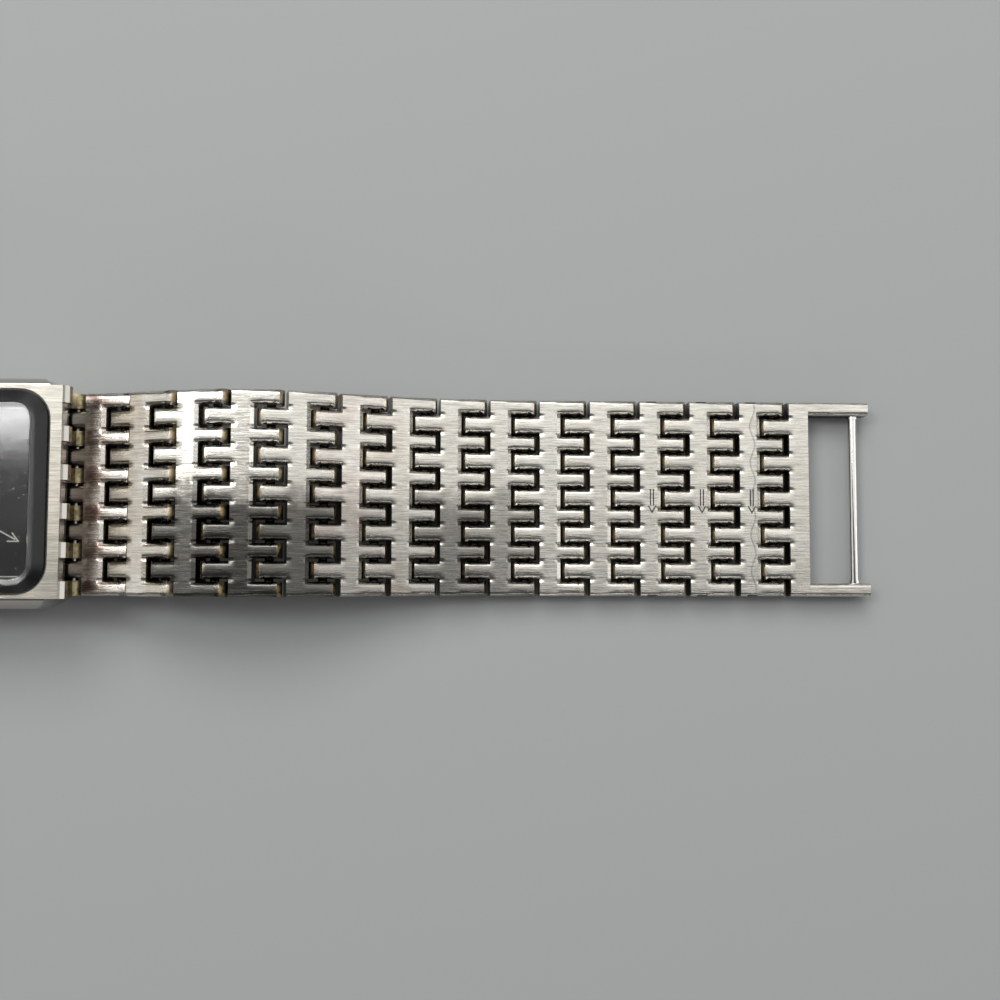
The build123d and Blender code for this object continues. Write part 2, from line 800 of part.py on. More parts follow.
third_pinion_phase = mesh_phase(centre_wheel_teeth, 0, third_pinion_teeth, third_wheel_direction)
with BuildPart() as third_wheel:
    round_layer(third_place, arbor_bottom, arbor_top - arbor_bottom, arbor_radius)
    toothed_layer(third_place, train_low, wheel_thickness, third_wheel_teeth, rotor_module, 0)
    toothed_layer(third_place, train_low + wheel_thickness,
                  train_high - train_low, third_pinion_teeth,
                  train_module, third_pinion_phase)
write("third_wheel", third_wheel.part)

rotor_pinion_phase = mesh_phase(third_wheel_teeth, 0, rotor_pinion_teeth, rotor_direction)
with BuildPart() as rotor:
    round_layer(rotor_place, arbor_bottom, arbor_top - arbor_bottom, arbor_radius)
    round_layer(rotor_place, stator_bottom, rotor_height, rotor_radius)
    toothed_layer(rotor_place, stator_bottom + rotor_height,
                  train_low + 2 * wheel_thickness - stator_bottom - rotor_height,
                  rotor_pinion_teeth, rotor_module, rotor_pinion_phase)
write("rotor", rotor.part)

minute_wheel_phase = mesh_phase(cannon_teeth, 0, minute_wheel_teeth, minute_wheel_direction)
with BuildPart() as minute_wheel:
    toothed_layer(minute_place, minute_wheel_bottom, wheel_thickness, minute_wheel_teeth,
                  motion_module, minute_wheel_phase)
    toothed_layer(minute_place, minute_wheel_bottom + wheel_thickness,
                  post_top - minute_wheel_bottom - wheel_thickness, minute_pinion_teeth,
                  hour_module, 0)
    with BuildSketch(Plane.XY.offset(minute_wheel_bottom)):
        with Locations(minute_place):
            Circle(arbor_radius + pivot_clearance)
    extrude(amount=post_top, mode=Mode.SUBTRACT)
write("minute_wheel", minute_wheel.part)

hour_wheel_phase = mesh_phase(minute_pinion_teeth, 0, hour_wheel_teeth, minute_wheel_direction + 180)
with BuildPart() as hour_wheel:
    toothed_layer(origin, hour_wheel_bottom, wheel_thickness, hour_wheel_teeth, hour_module,
                  hour_wheel_phase)
    round_layer(origin, hour_wheel_bottom, hour_hand_z + hand_thickness - hour_wheel_bottom,
                hour_tube_radius)
    with BuildSketch(Plane.XY.offset(hour_wheel_bottom)):
        Circle(cannon_tube_radius + pivot_clearance)
    extrude(amount=hour_hand_z, mode=Mode.SUBTRACT)
write("hour_wheel", hour_wheel.part)

# Stem, setting lever and crown, on an axis along Y
crown_face_y = flank_bulge_width / 2 + crown_gap
sleeve_end_y = crown_face_y - crown_sleeve_length
stem_outer_end = sleeve_end_y + stem_reach_into_crown


def stem_layer(y_from, y_to, radius, mode=Mode.ADD):
    """A round length on the stem's axis; both places are distances from the movement's middle."""
    with BuildSketch(Plane.XZ.offset(y_from)) as face:
        with Locations((0, stem_height)):
            Circle(radius)
    extrude(face.sketch, amount=y_to - y_from, mode=mode)


with BuildPart() as stem:
    stem_layer(stem_inner_end, stem_groove_place - stem_groove_width / 2, stem_radius)
    stem_layer(stem_groove_place - stem_groove_width / 2, stem_groove_place + stem_groove_width / 2,
               stem_groove_radius)
    stem_layer(stem_groove_place + stem_groove_width / 2, stem_outer_end, stem_radius)
write("stem", stem.part)
lever_top = plate_blank_bottom - pivot_clearance
lever_bottom = stem_height - lever_drop
with BuildPart() as setting_lever:
    with BuildSketch(Plane.XZ.offset(stem_groove_place)):
        with Locations((0, (lever_top + lever_bottom) / 2)):
            Rectangle(lever_width, lever_top - lever_bottom)
        with Locations((0, stem_height)):
            Circle(stem_groove_radius + lever_clearance, mode=Mode.SUBTRACT)
        with Locations((0, stem_height - lever_drop)):
            Rectangle(2 * (stem_groove_radius + lever_clearance), 2 * lever_drop, mode=Mode.SUBTRACT)
    extrude(amount=lever_thickness / 2, both=True)
write("setting_lever", setting_lever.part)
with BuildPart() as crown:
    stem_layer(crown_face_y, crown_face_y + crown_length, crown_radius)
    chamfer(crown.edges().group_by(Axis.Y)[0], length=crown_dome_bevel)
    with BuildSketch(Plane.XZ.offset(crown_face_y)):
        with Locations((0, stem_height)):
            with PolarLocations(crown_radius, crown_flutes):
                Circle(crown_flute_radius)
    extrude(amount=crown_length, mode=Mode.SUBTRACT)
    stem_layer(sleeve_end_y, crown_face_y, crown_sleeve_radius)
    stem_layer(sleeve_end_y, stem_outer_end, stem_radius, Mode.SUBTRACT)
write("crown", crown.part)

# Clasp: a base channel, a hinged cover with the hook that takes the free bar, and a spring catch
clasp_cross_end = spine_start + clasp_cross_width
floor_end = clasp_cross_end + clasp_floor_length
wall_middle = (band_width - clasp_wall_thickness) / 2
cover_underside = half_link + cover_gap
cover_from = clasp_cross_end + cover_start_gap
cover_to = clasp_hinge_place + cover_tail
with BuildPart() as clasp_base_form:
    with BuildSketch(Plane.XZ):
        nose_profile(clasp_cross_end, near_nose)
        Circle(pin_bore, mode=Mode.SUBTRACT)
    extrude(amount=band_width / 2, both=True)
    with BuildSketch():
        near_slots()
    extrude(amount=link_thickness, both=True, mode=Mode.SUBTRACT)
    with BuildSketch(Plane.XY.offset(-half_link)):
        with Locations(((clasp_cross_end + floor_end) / 2, 0)):
            Rectangle(floor_end - clasp_cross_end, band_width)
    extrude(amount=clasp_floor_thickness)
    with BuildSketch(Plane.XZ.offset(wall_middle), Plane.XZ.offset(-wall_middle)):
        with Locations(((clasp_cross_end + clasp_hinge_place) / 2, 0)):
            Rectangle(clasp_hinge_place - clasp_cross_end, link_thickness)
        with Locations((clasp_hinge_place, 0)):
            Circle(half_link)
            Circle(hinge_pin_radius, mode=Mode.SUBTRACT)
    extrude(amount=clasp_wall_thickness / 2, both=True)
lug_middle = wall_middle - clasp_wall_thickness / 2 - cover_lug_gap - cover_lug_width / 2
with BuildPart() as clasp_cover_form:
    with BuildSketch(Plane.XY.offset(cover_underside)):
        with Locations(((cover_from + cover_to) / 2, 0)):
            Rectangle(cover_to - cover_from, band_width)
    extrude(amount=cover_thickness)
    fillet(clasp_cover_form.faces().sort_by(Axis.Z)[-1].edges(), radius=cover_edge_round)
    with BuildSketch(Plane.XZ.offset(lug_middle), Plane.XZ.offset(-lug_middle)):
        with Locations((clasp_hinge_place, 0)):
            Circle(cover_lug_radius)
        with Locations((clasp_hinge_place, cover_underside / 2)):
            Rectangle(2 * cover_lug_radius, cover_underside)
        with Locations((clasp_hinge_place, 0)):
            Circle(hinge_pin_radius + pin_clearance, mode=Mode.SUBTRACT)
    extrude(amount=cover_lug_width / 2, both=True)
hook_x = clasp_hinge_place + hook_reach
throat_radius = bar_radius + hook_throat_clearance
hook_radius = throat_radius + hook_wall
with BuildPart() as clasp_hook_form:
    with BuildSketch(Plane.XZ):
        with Locations((hook_x, 0)):
            Circle(hook_radius)
        with Locations((hook_x + hook_radius / 2, cover_underside / 2)):
            Rectangle(hook_radius, cover_underside)
        with Locations((hook_x, 0)):
            Circle(throat_radius, mode=Mode.SUBTRACT)
        mouth = [polar((hook_x, 0), 2 * hook_radius, turn)
                 for turn in (90, hook_wrap_angle / 2 + 30, 450 - hook_wrap_angle)]
        with BuildLine():
            Polyline((hook_x, 0), *mouth, close=True)
        make_face(mode=Mode.SUBTRACT)
    extrude(amount=hook_width / 2, both=True)
with BuildPart() as clasp_pin_form:
    with Locations((clasp_hinge_place, 0, 0)):
        Cylinder(hinge_pin_radius, pin_length, rotation=(90, 0, 0))
latch_bottom = clasp_floor_thickness - half_link
latch_height = cover_underside - latch_gap - latch_bottom
with BuildPart() as clasp_latch_form:
    with Locations((latch_place, 0, latch_bottom + latch_height / 2)):
        Box(latch_length, latch_width, latch_height)
    fillet(clasp_latch_form.edges().filter_by(Axis.Y).group_by(Axis.Z)[-1], radius=latch_round)


def place_on_clasp(name, form):
    with BuildPart(left_planes[-1]) as piece:
        add(form.part)
    write(name, piece.part)


place_on_clasp("clasp_base", clasp_base_form)
place_on_clasp("clasp_cover", clasp_cover_form)
place_on_clasp("clasp_hook", clasp_hook_form)
place_on_clasp("clasp_hinge_pin", clasp_pin_form)
place_on_clasp("clasp_latch", clasp_latch_form)
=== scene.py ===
# %% [markdown]
# # A rectangular watch on its comb-link bracelet
# The watch lies open on its back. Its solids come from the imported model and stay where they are, so this
# lesson is mostly about finish: what brushed, plated and worn metal looks like up close, and how a few
# shader node groups can give the twenty-six pieces of the band one finish, each with its own wear.

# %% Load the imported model
import bpy
import bmesh
import json
from math import pi, radians
from mathutils import Matrix, Vector


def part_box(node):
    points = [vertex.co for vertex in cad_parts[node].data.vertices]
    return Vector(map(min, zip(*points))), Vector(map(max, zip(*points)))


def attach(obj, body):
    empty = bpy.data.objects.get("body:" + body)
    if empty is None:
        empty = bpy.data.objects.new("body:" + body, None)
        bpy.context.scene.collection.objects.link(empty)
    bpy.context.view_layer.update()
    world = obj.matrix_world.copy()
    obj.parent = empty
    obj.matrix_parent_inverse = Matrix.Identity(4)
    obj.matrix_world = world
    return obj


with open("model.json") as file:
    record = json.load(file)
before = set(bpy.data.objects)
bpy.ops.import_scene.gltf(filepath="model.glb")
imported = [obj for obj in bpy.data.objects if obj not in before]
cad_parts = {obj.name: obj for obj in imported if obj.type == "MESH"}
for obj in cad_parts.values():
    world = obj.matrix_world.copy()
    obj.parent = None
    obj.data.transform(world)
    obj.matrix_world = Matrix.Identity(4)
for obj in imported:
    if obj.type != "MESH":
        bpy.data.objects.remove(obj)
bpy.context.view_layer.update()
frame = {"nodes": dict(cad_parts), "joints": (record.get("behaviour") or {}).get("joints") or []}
nodes = frame["nodes"]
MM = 0.001
hinges = {joint["name"]: Vector(joint["pos_m"]) for joint in frame["joints"] if joint.get("pos_m")}
print("nodes", len(nodes), "hinges", len(hinges))

# %% [markdown]
# ## Where each link lies
# Every link has its own small frame: the origin on its hinge axis, X along the band away from the case and
# Z out of the face. A pattern that is worked out in that frame lies the same way on every link. The hinge
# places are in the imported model, so nothing has to be measured again.

# %% Link frames
def link_frame(side, number):
    """The placement matrix of one link; the last number gives the piece at the bracelet's end."""
    near = hinges[f"{side}_hinge_{number:02d}"]
    far = hinges.get(f"{side}_hinge_{number + 1:02d}")
    if far is None:
        along = Vector((1 if side == "right" else -1, 0, 0))
    else:
        along = (far - near).normalized()
    across = Vector((0, 1, 0)) * (1 if side == "right" else -1)
    turned = Matrix((along, across, along.cross(across))).transposed().to_4x4()
    return Matrix.Translation(near) @ turned


link_places = {}
for side, count in (("right", 14), ("left", 10)):
    for number in range(1, count + 1):
        link_places[f"link_{side}_{number:02d}"] = link_frame(side, number)
link_places["end_frame"] = link_frame("right", 15)
link_places["clasp_base"] = link_frame("left", 11)
print("placed", len(link_places), "pieces along the band")

# %% [markdown]
# ## What a link measures
# The pitch, the thickness and the band's width are read from the model, off a link that lies flat. The rest
# describes the comb in millimetres of the link's frame. Near fingers reach back to the link's own hinge and
# far fingers reach on to the next one. A solid spine lies between them, and every finger ends in a round nose
# with a small flat on its top.

# %% Link sizes
flat_link = [Vector(corner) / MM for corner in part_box("link_right_12")]
PITCH = round((hinges["right_hinge_13"] - hinges["right_hinge_12"]).length / MM, 3)
HALF_THICKNESS = round((flat_link[1].z - flat_link[0].z) / 2, 3)
NEAR_HALF_WIDTH, FAR_HALF_WIDTH = 0.76, 0.66
ROW_STEPS = 5
ROW_STEP = round((flat_link[1].y - FAR_HALF_WIDTH) / ROW_STEPS, 3)
SPINE_START = 1.37
EDGE_ROUND = 0.36
NEAR_FLAT, FAR_FLAT = 0.5, 0.25
NO_FAR_FINGERS = 99.0
print("pitch", PITCH, "half thickness", HALF_THICKNESS, "row step", ROW_STEP)

# %% [markdown]
# ## Small helpers for shader nodes
# A node tree written out call by call is long and hard to read. A few short helpers keep it readable: one
# makes a node and fills its sockets, and the others stand for the sums, steps and blends that come up all
# the time.

# %% Node helpers
def put(tree, kind, settings=None, **sockets):
    """Adds a node. A value fills a socket and an output socket is linked to it."""
    node = tree.nodes.new(kind)
    for key, value in (settings or {}).items():
        setattr(node, key, value)
    for key, value in sockets.items():
        by_number = key[0] == "i" and key[1:].isdigit()
        target = node.inputs[int(key[1:]) if by_number else key.replace("_", " ")]
        if isinstance(value, bpy.types.NodeSocket):
            tree.links.new(value, target)
        else:
            target.default_value = value
    return node


def maths(tree, operation, a, b=0.0, clamp=False):
    node = put(tree, "ShaderNodeMath", {"operation": operation, "use_clamp": clamp}, i0=a, i1=b)
    return node.outputs[0]


def plus(tree, a, b, clamp=False):
    return maths(tree, "ADD", a, b, clamp)


def minus(tree, a, b):
    return maths(tree, "SUBTRACT", a, b)


def times(tree, a, b, clamp=False):
    return maths(tree, "MULTIPLY", a, b, clamp)


def ramp(tree, value, low, high, to_low=0.0, to_high=1.0):
    """A smooth step from to_low to to_high while value goes from low to high."""
    settings = {"interpolation_type": "SMOOTHSTEP"}
    node = put(tree, "ShaderNodeMapRange", settings, Value=value)
    for key, number in (("From Min", low), ("From Max", high), ("To Min", to_low), ("To Max", to_high)):
        node.inputs[key].default_value = number
    return node.outputs[0]


def fade(tree, value, low, high):
    """The opposite step: 1 below low and 0 above high."""
    return ramp(tree, value, low, high, 1.0, 0.0)


def blend_colours(tree, share, a, b, kind="MIX"):
    node = put(tree, "ShaderNodeMix", {"data_type": "RGBA", "blend_type": kind}, i0=share, i6=a, i7=b)
    return node.outputs[2]


def split(tree, vector):
    """The three coordinates of a vector."""
    return put(tree, "ShaderNodeSeparateXYZ", Vector=vector).outputs


# %% [markdown]
# ## Groups and noise
# A node group is a small tree that many materials share. It is made here with named inputs and outputs, so
# that a material only fills in its own values. Most groups below start from one kind of noise, whose seed
# gives every piece a pattern of its own.

# %% Group and noise helpers
def new_group(name, inputs, outputs):
    group = bpy.data.node_groups.new(name, "ShaderNodeTree")
    for label, kind, value in inputs:
        socket = group.interface.new_socket(label, in_out="INPUT", socket_type="NodeSocket" + kind)
        if value is not None:
            socket.default_value = value
    for label, kind in outputs:
        group.interface.new_socket(label, in_out="OUTPUT", socket_type="NodeSocket" + kind)
    return group, group.nodes.new("NodeGroupInput").outputs, group.nodes.new("NodeGroupOutput").inputs


def noise(tree, vector, scale, seed, detail=3.0, roughness=0.55, stretch=(1, 1, 1)):
    """Noise in four dimensions, where the seed slides it; stretch slows it down along an axis."""
    scaled = put(tree, "ShaderNodeMapping", {"vector_type": "POINT"}, Vector=vector, Scale=stretch)
    node = put(tree, "ShaderNodeTexNoise", {"noise_dimensions": "4D"}, Vector=scaled.outputs[0],
               Scale=scale, Detail=detail, Roughness=roughness, W=seed)
    return node.outputs[0]


# %% [markdown]
# ## Brushed grain
# A brushed finish is thousands of scratches that run one way. Noise that is slow along the scratch and fast
# across it gives the same look: it tilts the surface through a bump, so the light spreads across the grain,
# and it changes the shine a little from line to line. The group works in millimetres along X.

# %% Group: brushed grain
def make_grain():
    group, given, result = new_group(
        "Brushed grain",
        [("Vector", "Vector", None), ("Seed", "Float", 0.0), ("Fineness", "Float", 1.0)],
        [("Height", "Float"), ("Streak", "Float")])
    vector = put(group, "ShaderNodeVectorMath", {"operation": "SCALE"}, i0=given["Vector"],
                 Scale=given["Fineness"]).outputs[0]
    fine = noise(group, vector, scale=19.0, seed=given["Seed"], detail=2.0, roughness=0.7,
                 stretch=(0.035, 1.0, 1.0))
    broad = noise(group, vector, scale=6.5, seed=given["Seed"], detail=3.0, roughness=0.65,
                  stretch=(0.05, 1.0, 1.0))
    group.links.new(plus(group, times(group, fine, 0.8), times(group, broad, 0.2)), result["Height"])
    even = plus(group, times(group, fine, 0.5), times(group, broad, 0.5))
    group.links.new(ramp(group, even, 0.38, 0.62), result["Streak"])
    return group


grain_group = make_grain()
print(grain_group.name, len(grain_group.nodes), "nodes")

# %% [markdown]
# ## Grime, worn plating and painted shade
# The plating rubs off where the links turn in each other, and skin oil dries there to a golden-brown film
# at the round noses. The gaps and the low walls get a painted shade, a near black that stands in for their
# shadow. In a link's own frame that is a matter of how far along X and how deep below the face a point lies,
# the film broken up by noise. The painted shade starts soon below the face on the walls, and on the noses,
# which curve away, only further down.

# %% Group: hinge grime and painted shade
def make_grime_and_shade():
    group, given, result = new_group(
        "Hinge grime and painted shade",
        [("Vector", "Vector", None), ("Seed", "Float", 0.0), ("Far axis", "Float", PITCH),
         ("Top", "Float", HALF_THICKNESS), ("Amount", "Float", 1.0)],
        [("Mask", "Float"), ("Depth", "Float")])
    x, _, z = split(group, given["Vector"])
    past = minus(group, x, given["Far axis"])
    spots = ramp(group, noise(group, given["Vector"], scale=2.6, seed=given["Seed"], detail=4.0,
                              roughness=0.65), 0.38, 0.6)
    tips = maths(group, "MAXIMUM", fade(group, x, -1.1, -0.75), ramp(group, past, 0.65, 0.95))
    film = times(group, tips, plus(group, 0.25, times(group, spots, 0.75)))
    group.links.new(times(group, film, given["Amount"], True), result["Mask"])
    # Depth is a painted shade: it darkens the low walls, the nose ends and the gaps for the shadow there.
    sunk = minus(group, given["Top"], z)
    nose = maths(group, "MAXIMUM", fade(group, x, -0.4, -0.2), ramp(group, past, 0.2, 0.4))
    wall_shade = plus(group, times(group, ramp(group, sunk, 0.3, 0.7), minus(group, 1.0, nose)),
                 times(group, ramp(group, sunk, 0.6, 1.05), nose))
    above_back = ramp(group, plus(group, given["Top"], z), 0.03, 0.1)
    group.links.new(times(group, wall_shade, above_back), result["Depth"])
    return group


grime_and_shade_group = make_grime_and_shade()
print(grime_and_shade_group.name, len(grime_and_shade_group.nodes), "nodes")

# %% [markdown]
# ## Tarnish
# Silver plate doesn't dull evenly. Broad patches turn beige or pinkish where the brass below shines through,
# and small specks lie between them.

# %% Group: tarnish
def make_tarnish():
    group, given, result = new_group(
        "Tarnish",
        [("Vector", "Vector", None), ("Seed", "Float", 0.0), ("Amount", "Float", 0.5)],
        [("Mask", "Float")])
    patches = noise(group, given["Vector"], scale=0.28, seed=given["Seed"], detail=3.0, roughness=0.6,
                    stretch=(1.0, 0.55, 1.0))
    specks = noise(group, given["Vector"], scale=3.2, seed=given["Seed"], detail=2.0, roughness=0.5)
    both = plus(group, ramp(group, patches, 0.35, 0.7), times(group, ramp(group, specks, 0.55, 0.72), 0.25))
    group.links.new(times(group, both, given["Amount"], True), result["Mask"])
    return group


tarnish_group = make_tarnish()
print(tarnish_group.name, len(tarnish_group.nodes), "nodes")

# %% [markdown]
# ## Crowned fingers
# Each finger of a comb link was ground with a slightly round top before it was brushed, and the roundness
# runs out into the spine. The rows alternate, so the distance from the middle of the nearest finger is a
# zigzag along Y, which a Ping-pong node gives. A power of it is the crown, kept to the finger's own stretch of
# X. The real ends are squarer than a half round, so the height also makes up for the first 0.3 mm of each
# nose's drop, and it carries the finger's rounded edges on over the nose.

# %% Group: finger crown
CROWN_DEPTH = 0.13
CROWN_POWER = 2.5
NOSE_LIFT = 1.1
LOWEST_NOSE = 0.8
EDGE_DROP = 0.22


def make_crown():
    group, given, result = new_group(
        "Finger crown",
        [("Vector", "Vector", None), ("Row step", "Float", ROW_STEP), ("Near root", "Float", SPINE_START),
         ("Far root", "Float", PITCH - SPINE_START), ("Far axis", "Float", PITCH),
         ("Depth", "Float", CROWN_DEPTH)],
        [("Height", "Float"), ("Far row", "Float")])
    x, y, _ = split(group, given["Vector"])
    off_near = maths(group, "PINGPONG", y, given["Row step"])
    off_far = minus(group, given["Row step"], off_near)
    past = minus(group, x, given["Far axis"])
    near_stretch = fade(group, minus(group, x, given["Near root"]), -0.3, 0.6)
    far_stretch = ramp(group, minus(group, x, given["Far root"]), -0.6, 0.3)
    bowls, edges, drops = [], [], []
    for off, half_width, stretch, nose in (
            (off_near, NEAR_HALF_WIDTH, near_stretch, fade(group, x, -0.55, -0.45)),
            (off_far, FAR_HALF_WIDTH, far_stretch, ramp(group, past, 0.2, 0.3))):
        edge = maths(group, "DIVIDE", minus(group, off, half_width - EDGE_ROUND), EDGE_ROUND, True)
        edges.append(times(group, times(group, edge, edge), nose))
        share = maths(group, "DIVIDE", off, half_width)
        bowl = maths(group, "MINIMUM", maths(group, "POWER", share, CROWN_POWER), 1.0)
        on_finger = fade(group, share, 1.1, 1.5)
        bowls.append(times(group, times(group, bowl, stretch), on_finger))
    for beyond, flat in ((maths(group, "MINIMUM", x, 0.0), NEAR_FLAT),
                         (maths(group, "MAXIMUM", past, 0.0), FAR_FLAT)):
        radius_squared = HALF_THICKNESS ** 2 + flat ** 2
        reach = maths(group, "MINIMUM", times(group, beyond, beyond), radius_squared - LOWEST_NOSE ** 2)
        height = maths(group, "SQRT", minus(group, radius_squared, reach))
        drops.append(maths(group, "MAXIMUM", minus(group, HALF_THICKNESS, height), 0.0))
    lifted = minus(group, times(group, plus(group, *drops), NOSE_LIFT),
                   times(group, plus(group, *edges), EDGE_DROP))
    crown = times(group, plus(group, *bowls), given["Depth"])
    group.links.new(minus(group, lifted, crown), result["Height"])
    group.links.new(fade(group, off_far, 0.6, 0.85), result["Far row"])
    return group


crown_group = make_crown()
print(crown_group.name, len(crown_group.nodes), "nodes")

# %% [markdown]
# ## From a place to a material
# The materials below are built on the same few parts. A Mapping node of the Texture kind undoes a piece's
# placement, so that the groups see millimetres in the piece's own frame. A Principled shader takes the
# colour and the roughness, and a bump takes the height where the surface has a relief.

# %% Material helpers
def group_node(tree, group, **sockets):
    return put(tree, "ShaderNodeGroup", {"node_tree": group}, **sockets).outputs


def own_frame(tree, place):
    """Object coordinates turned into millimetres in a piece's own frame."""
    there = put(tree, "ShaderNodeTexCoord").outputs["Object"]
    return put(tree, "ShaderNodeMapping", {"vector_type": "TEXTURE"}, Vector=there,
               Location=place.to_translation(), Rotation=place.to_euler(), Scale=(MM, MM, MM)).outputs[0]


def start_material(name, metallic=1.0, roughness=0.3):
    made = bpy.data.materials.new(name)
    made.use_nodes = True
    shader = made.node_tree.nodes["Principled BSDF"]
    shader.inputs["Metallic"].default_value = metallic
    shader.inputs["Roughness"].default_value = roughness
    return made, made.node_tree, shader


def set_bump(tree, shader, height, depth, strength=1.0):
    """Tilts the surface by a height that goes from 0 to 1 over a depth in millimetres."""
    bump = put(tree, "ShaderNodeBump", Strength=strength, Distance=depth * MM, Height=height)
    tree.links.new(bump.outputs[0], shader.inputs["Normal"])


def shaded(tree, colour, value):
    """A colour made darker by a value of each point."""
    grey = put(tree, "ShaderNodeCombineColor", Red=value, Green=value, Blue=value).outputs[0]
    return blend_colours(tree, 1.0, colour, grey, "MULTIPLY")


# %% [markdown]
# ## Marks of wear and painted shade
# Four marks are made only where they are asked for. A painted dark reflection darkens the lower rows, and a
# painted shadow runs along the filed seam on the last link, deepest on the seam and lighter again past it:
# both are shades that the colour is multiplied by. The brown rub at the roots of the first link's far fingers
# and the painted shade in an engraved arrow's groove are masks for a blend.

# %% Marks of wear and painted shade
SEAM_PLACE, SEAM_SWING, SEAM_SHADE = 2.53, 0.22, 0.62
ARROW_PLACE = PITCH / 2 + 0.12
print("seam at", SEAM_PLACE, "mm and arrow at", round(ARROW_PLACE, 3), "mm along a link")


# A painted dark reflection: the lower rows are darkened as if they mirrored something dark.
def painted_dark_reflection(tree, local, across, seed, reflection_darkening):
    cloud = times(tree, noise(tree, local, scale=0.5, seed=seed, detail=3.0), 5.0)
    return ramp(tree, plus(tree, across, cloud), 0.8, 4.6, 1.0 - reflection_darkening, 1.0)


# A painted shadow along the seam on the last link: darkest on the seam, lighter again past it.
def seam_painted_shadow(tree, along, across):
    wave = maths(tree, "COSINE", times(tree, across, pi / ROW_STEP))
    off = minus(tree, along, minus(tree, SEAM_PLACE, times(tree, wave, SEAM_SWING)))
    return times(tree, ramp(tree, off, -0.12, 0.0, 1.0, SEAM_SHADE), ramp(tree, off, 0.0, 0.16, 1.0, 1.5))


def rub_mask(tree, local, along, far_row, seed):
    roots = times(tree, ramp(tree, along, 1.3, 1.8), fade(tree, along, 2.2, 4.4))
    cloud = ramp(tree, noise(tree, local, scale=0.9, seed=seed, detail=4.0, roughness=0.6), 0.3, 0.6)
    return times(tree, times(tree, times(tree, roots, cloud), far_row), 0.85)


# Painted shade: the engraved arrow's groove is darkened for the shadow inside it.
def groove_painted_shade(tree, along, up):
    off = maths(tree, "ABSOLUTE", minus(tree, along, ARROW_PLACE))
    below_face = fade(tree, up, HALF_THICKNESS - 0.09, HALF_THICKNESS - 0.03)
    return times(tree, times(tree, fade(tree, off, 0.45, 0.5), below_face), 0.9)


# %% [markdown]
# ## The band's metal
# One function makes a link's material from the four groups. The order matters: silver first, then the tarnish
# with the streaks of the grain and the painted shades that multiply it, then the golden film at the noses, and
# last the painted black shade of the gaps and grooves, which nothing shines through.

# %% Band metal
SILVER = (0.88, 0.85, 0.77, 1)
BEIGE = (0.68, 0.58, 0.46, 1)
COPPER = (0.74, 0.55, 0.49, 1)
GRIME = (0.50, 0.37, 0.18, 1)
RUBBED = (0.30, 0.16, 0.14, 1)
SHADE_BLACK = (0.02, 0.015, 0.01, 1)
GRAIN_DEPTH = 0.014


def band_metal(name, place, seed, under, tarnish, far_axis, reflection_darkening=0.0, marks=()):
    made, tree, shader = start_material(name)
    local = own_frame(tree, place)
    along, across, up = split(tree, local)
    grain = group_node(tree, grain_group, Vector=local, Seed=seed)
    crown = group_node(tree, crown_group, Vector=local, Far_axis=far_axis, Far_root=far_axis - SPINE_START)
    film_and_shade = group_node(tree, grime_and_shade_group, Vector=local, Seed=seed, Far_axis=far_axis)
    dull = group_node(tree, tarnish_group, Vector=local, Seed=seed, Amount=tarnish)
    shade = plus(tree, 0.62, times(tree, grain["Streak"], 0.38))
    if reflection_darkening:
        shade = times(tree, shade, painted_dark_reflection(tree, local, across, seed, reflection_darkening))
    if "seam" in marks:
        shade = times(tree, shade, seam_painted_shadow(tree, along, across))
    colour = shaded(tree, blend_colours(tree, dull["Mask"], SILVER, under), shade)
    colour = blend_colours(tree, film_and_shade["Mask"], colour, GRIME)
    if "rub" in marks:
        colour = blend_colours(tree, rub_mask(tree, local, along, crown["Far row"], seed), colour, RUBBED)
    # Painted shade: gaps, low walls and the arrow's groove are blended to near black for their shadow.
    painted_shade = times(tree, film_and_shade["Depth"], 0.97)
    if "arrow" in marks:
        painted_shade = maths(tree, "MAXIMUM", painted_shade, groove_painted_shade(tree, along, up))
    tree.links.new(blend_colours(tree, painted_shade, colour, SHADE_BLACK), shader.inputs["Base Color"])
    rough = plus(tree, 0.17, times(tree, grain["Streak"], 0.12))
    tree.links.new(plus(tree, rough, times(tree, film_and_shade["Mask"], 0.3), True), shader.inputs["Roughness"])
    height = plus(tree, grain["Height"], maths(tree, "DIVIDE", crown["Height"], GRAIN_DEPTH))
    set_bump(tree, shader, height, GRAIN_DEPTH)
    return made


def dress(name, *materials):
    """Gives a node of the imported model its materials."""
    slots = nodes[name].data.materials
    slots.clear()
    for made in materials:
        slots.append(made)


# %% [markdown]
# ## Dress the band
# The photograph shows warm links near the case and again in the middle, and the lower rows of the hump are
# darkened by a painted dark reflection. The tables below hold what differs from link to link: the metal that
# shows through with its share, the depth of the painted dark reflection, and the marks. The end frame and the
# clasp base have near fingers only.

# %% Dress the band
right = "link_right_{:02d}".format
warmth = {right(1): (COPPER, 0.55), right(2): (BEIGE, 0.75), right(6): (COPPER, 0.5), right(7): (BEIGE, 0.6)}
dark_reflections = {right(3): 0.84, right(4): 0.84, right(5): 0.78, right(6): 0.4, right(7): 0.3, right(8): 0.6,
           right(9): 0.45}
marks = {right(1): ("rub",), right(12): ("arrow",), right(13): ("arrow",), right(14): ("arrow", "seam")}
SEED_STEP = 7.3
for number, (name, place) in enumerate(link_places.items()):
    under, tarnish = warmth.get(name, (BEIGE, 0.2))
    far_axis = PITCH if name.startswith("link") else NO_FAR_FINGERS
    dress(name, band_metal(f"band_{name}", place, number * SEED_STEP, under, tarnish, far_axis,
                           dark_reflections.get(name, 0.0), marks.get(name, ())))
print("band pieces dressed", len(link_places))

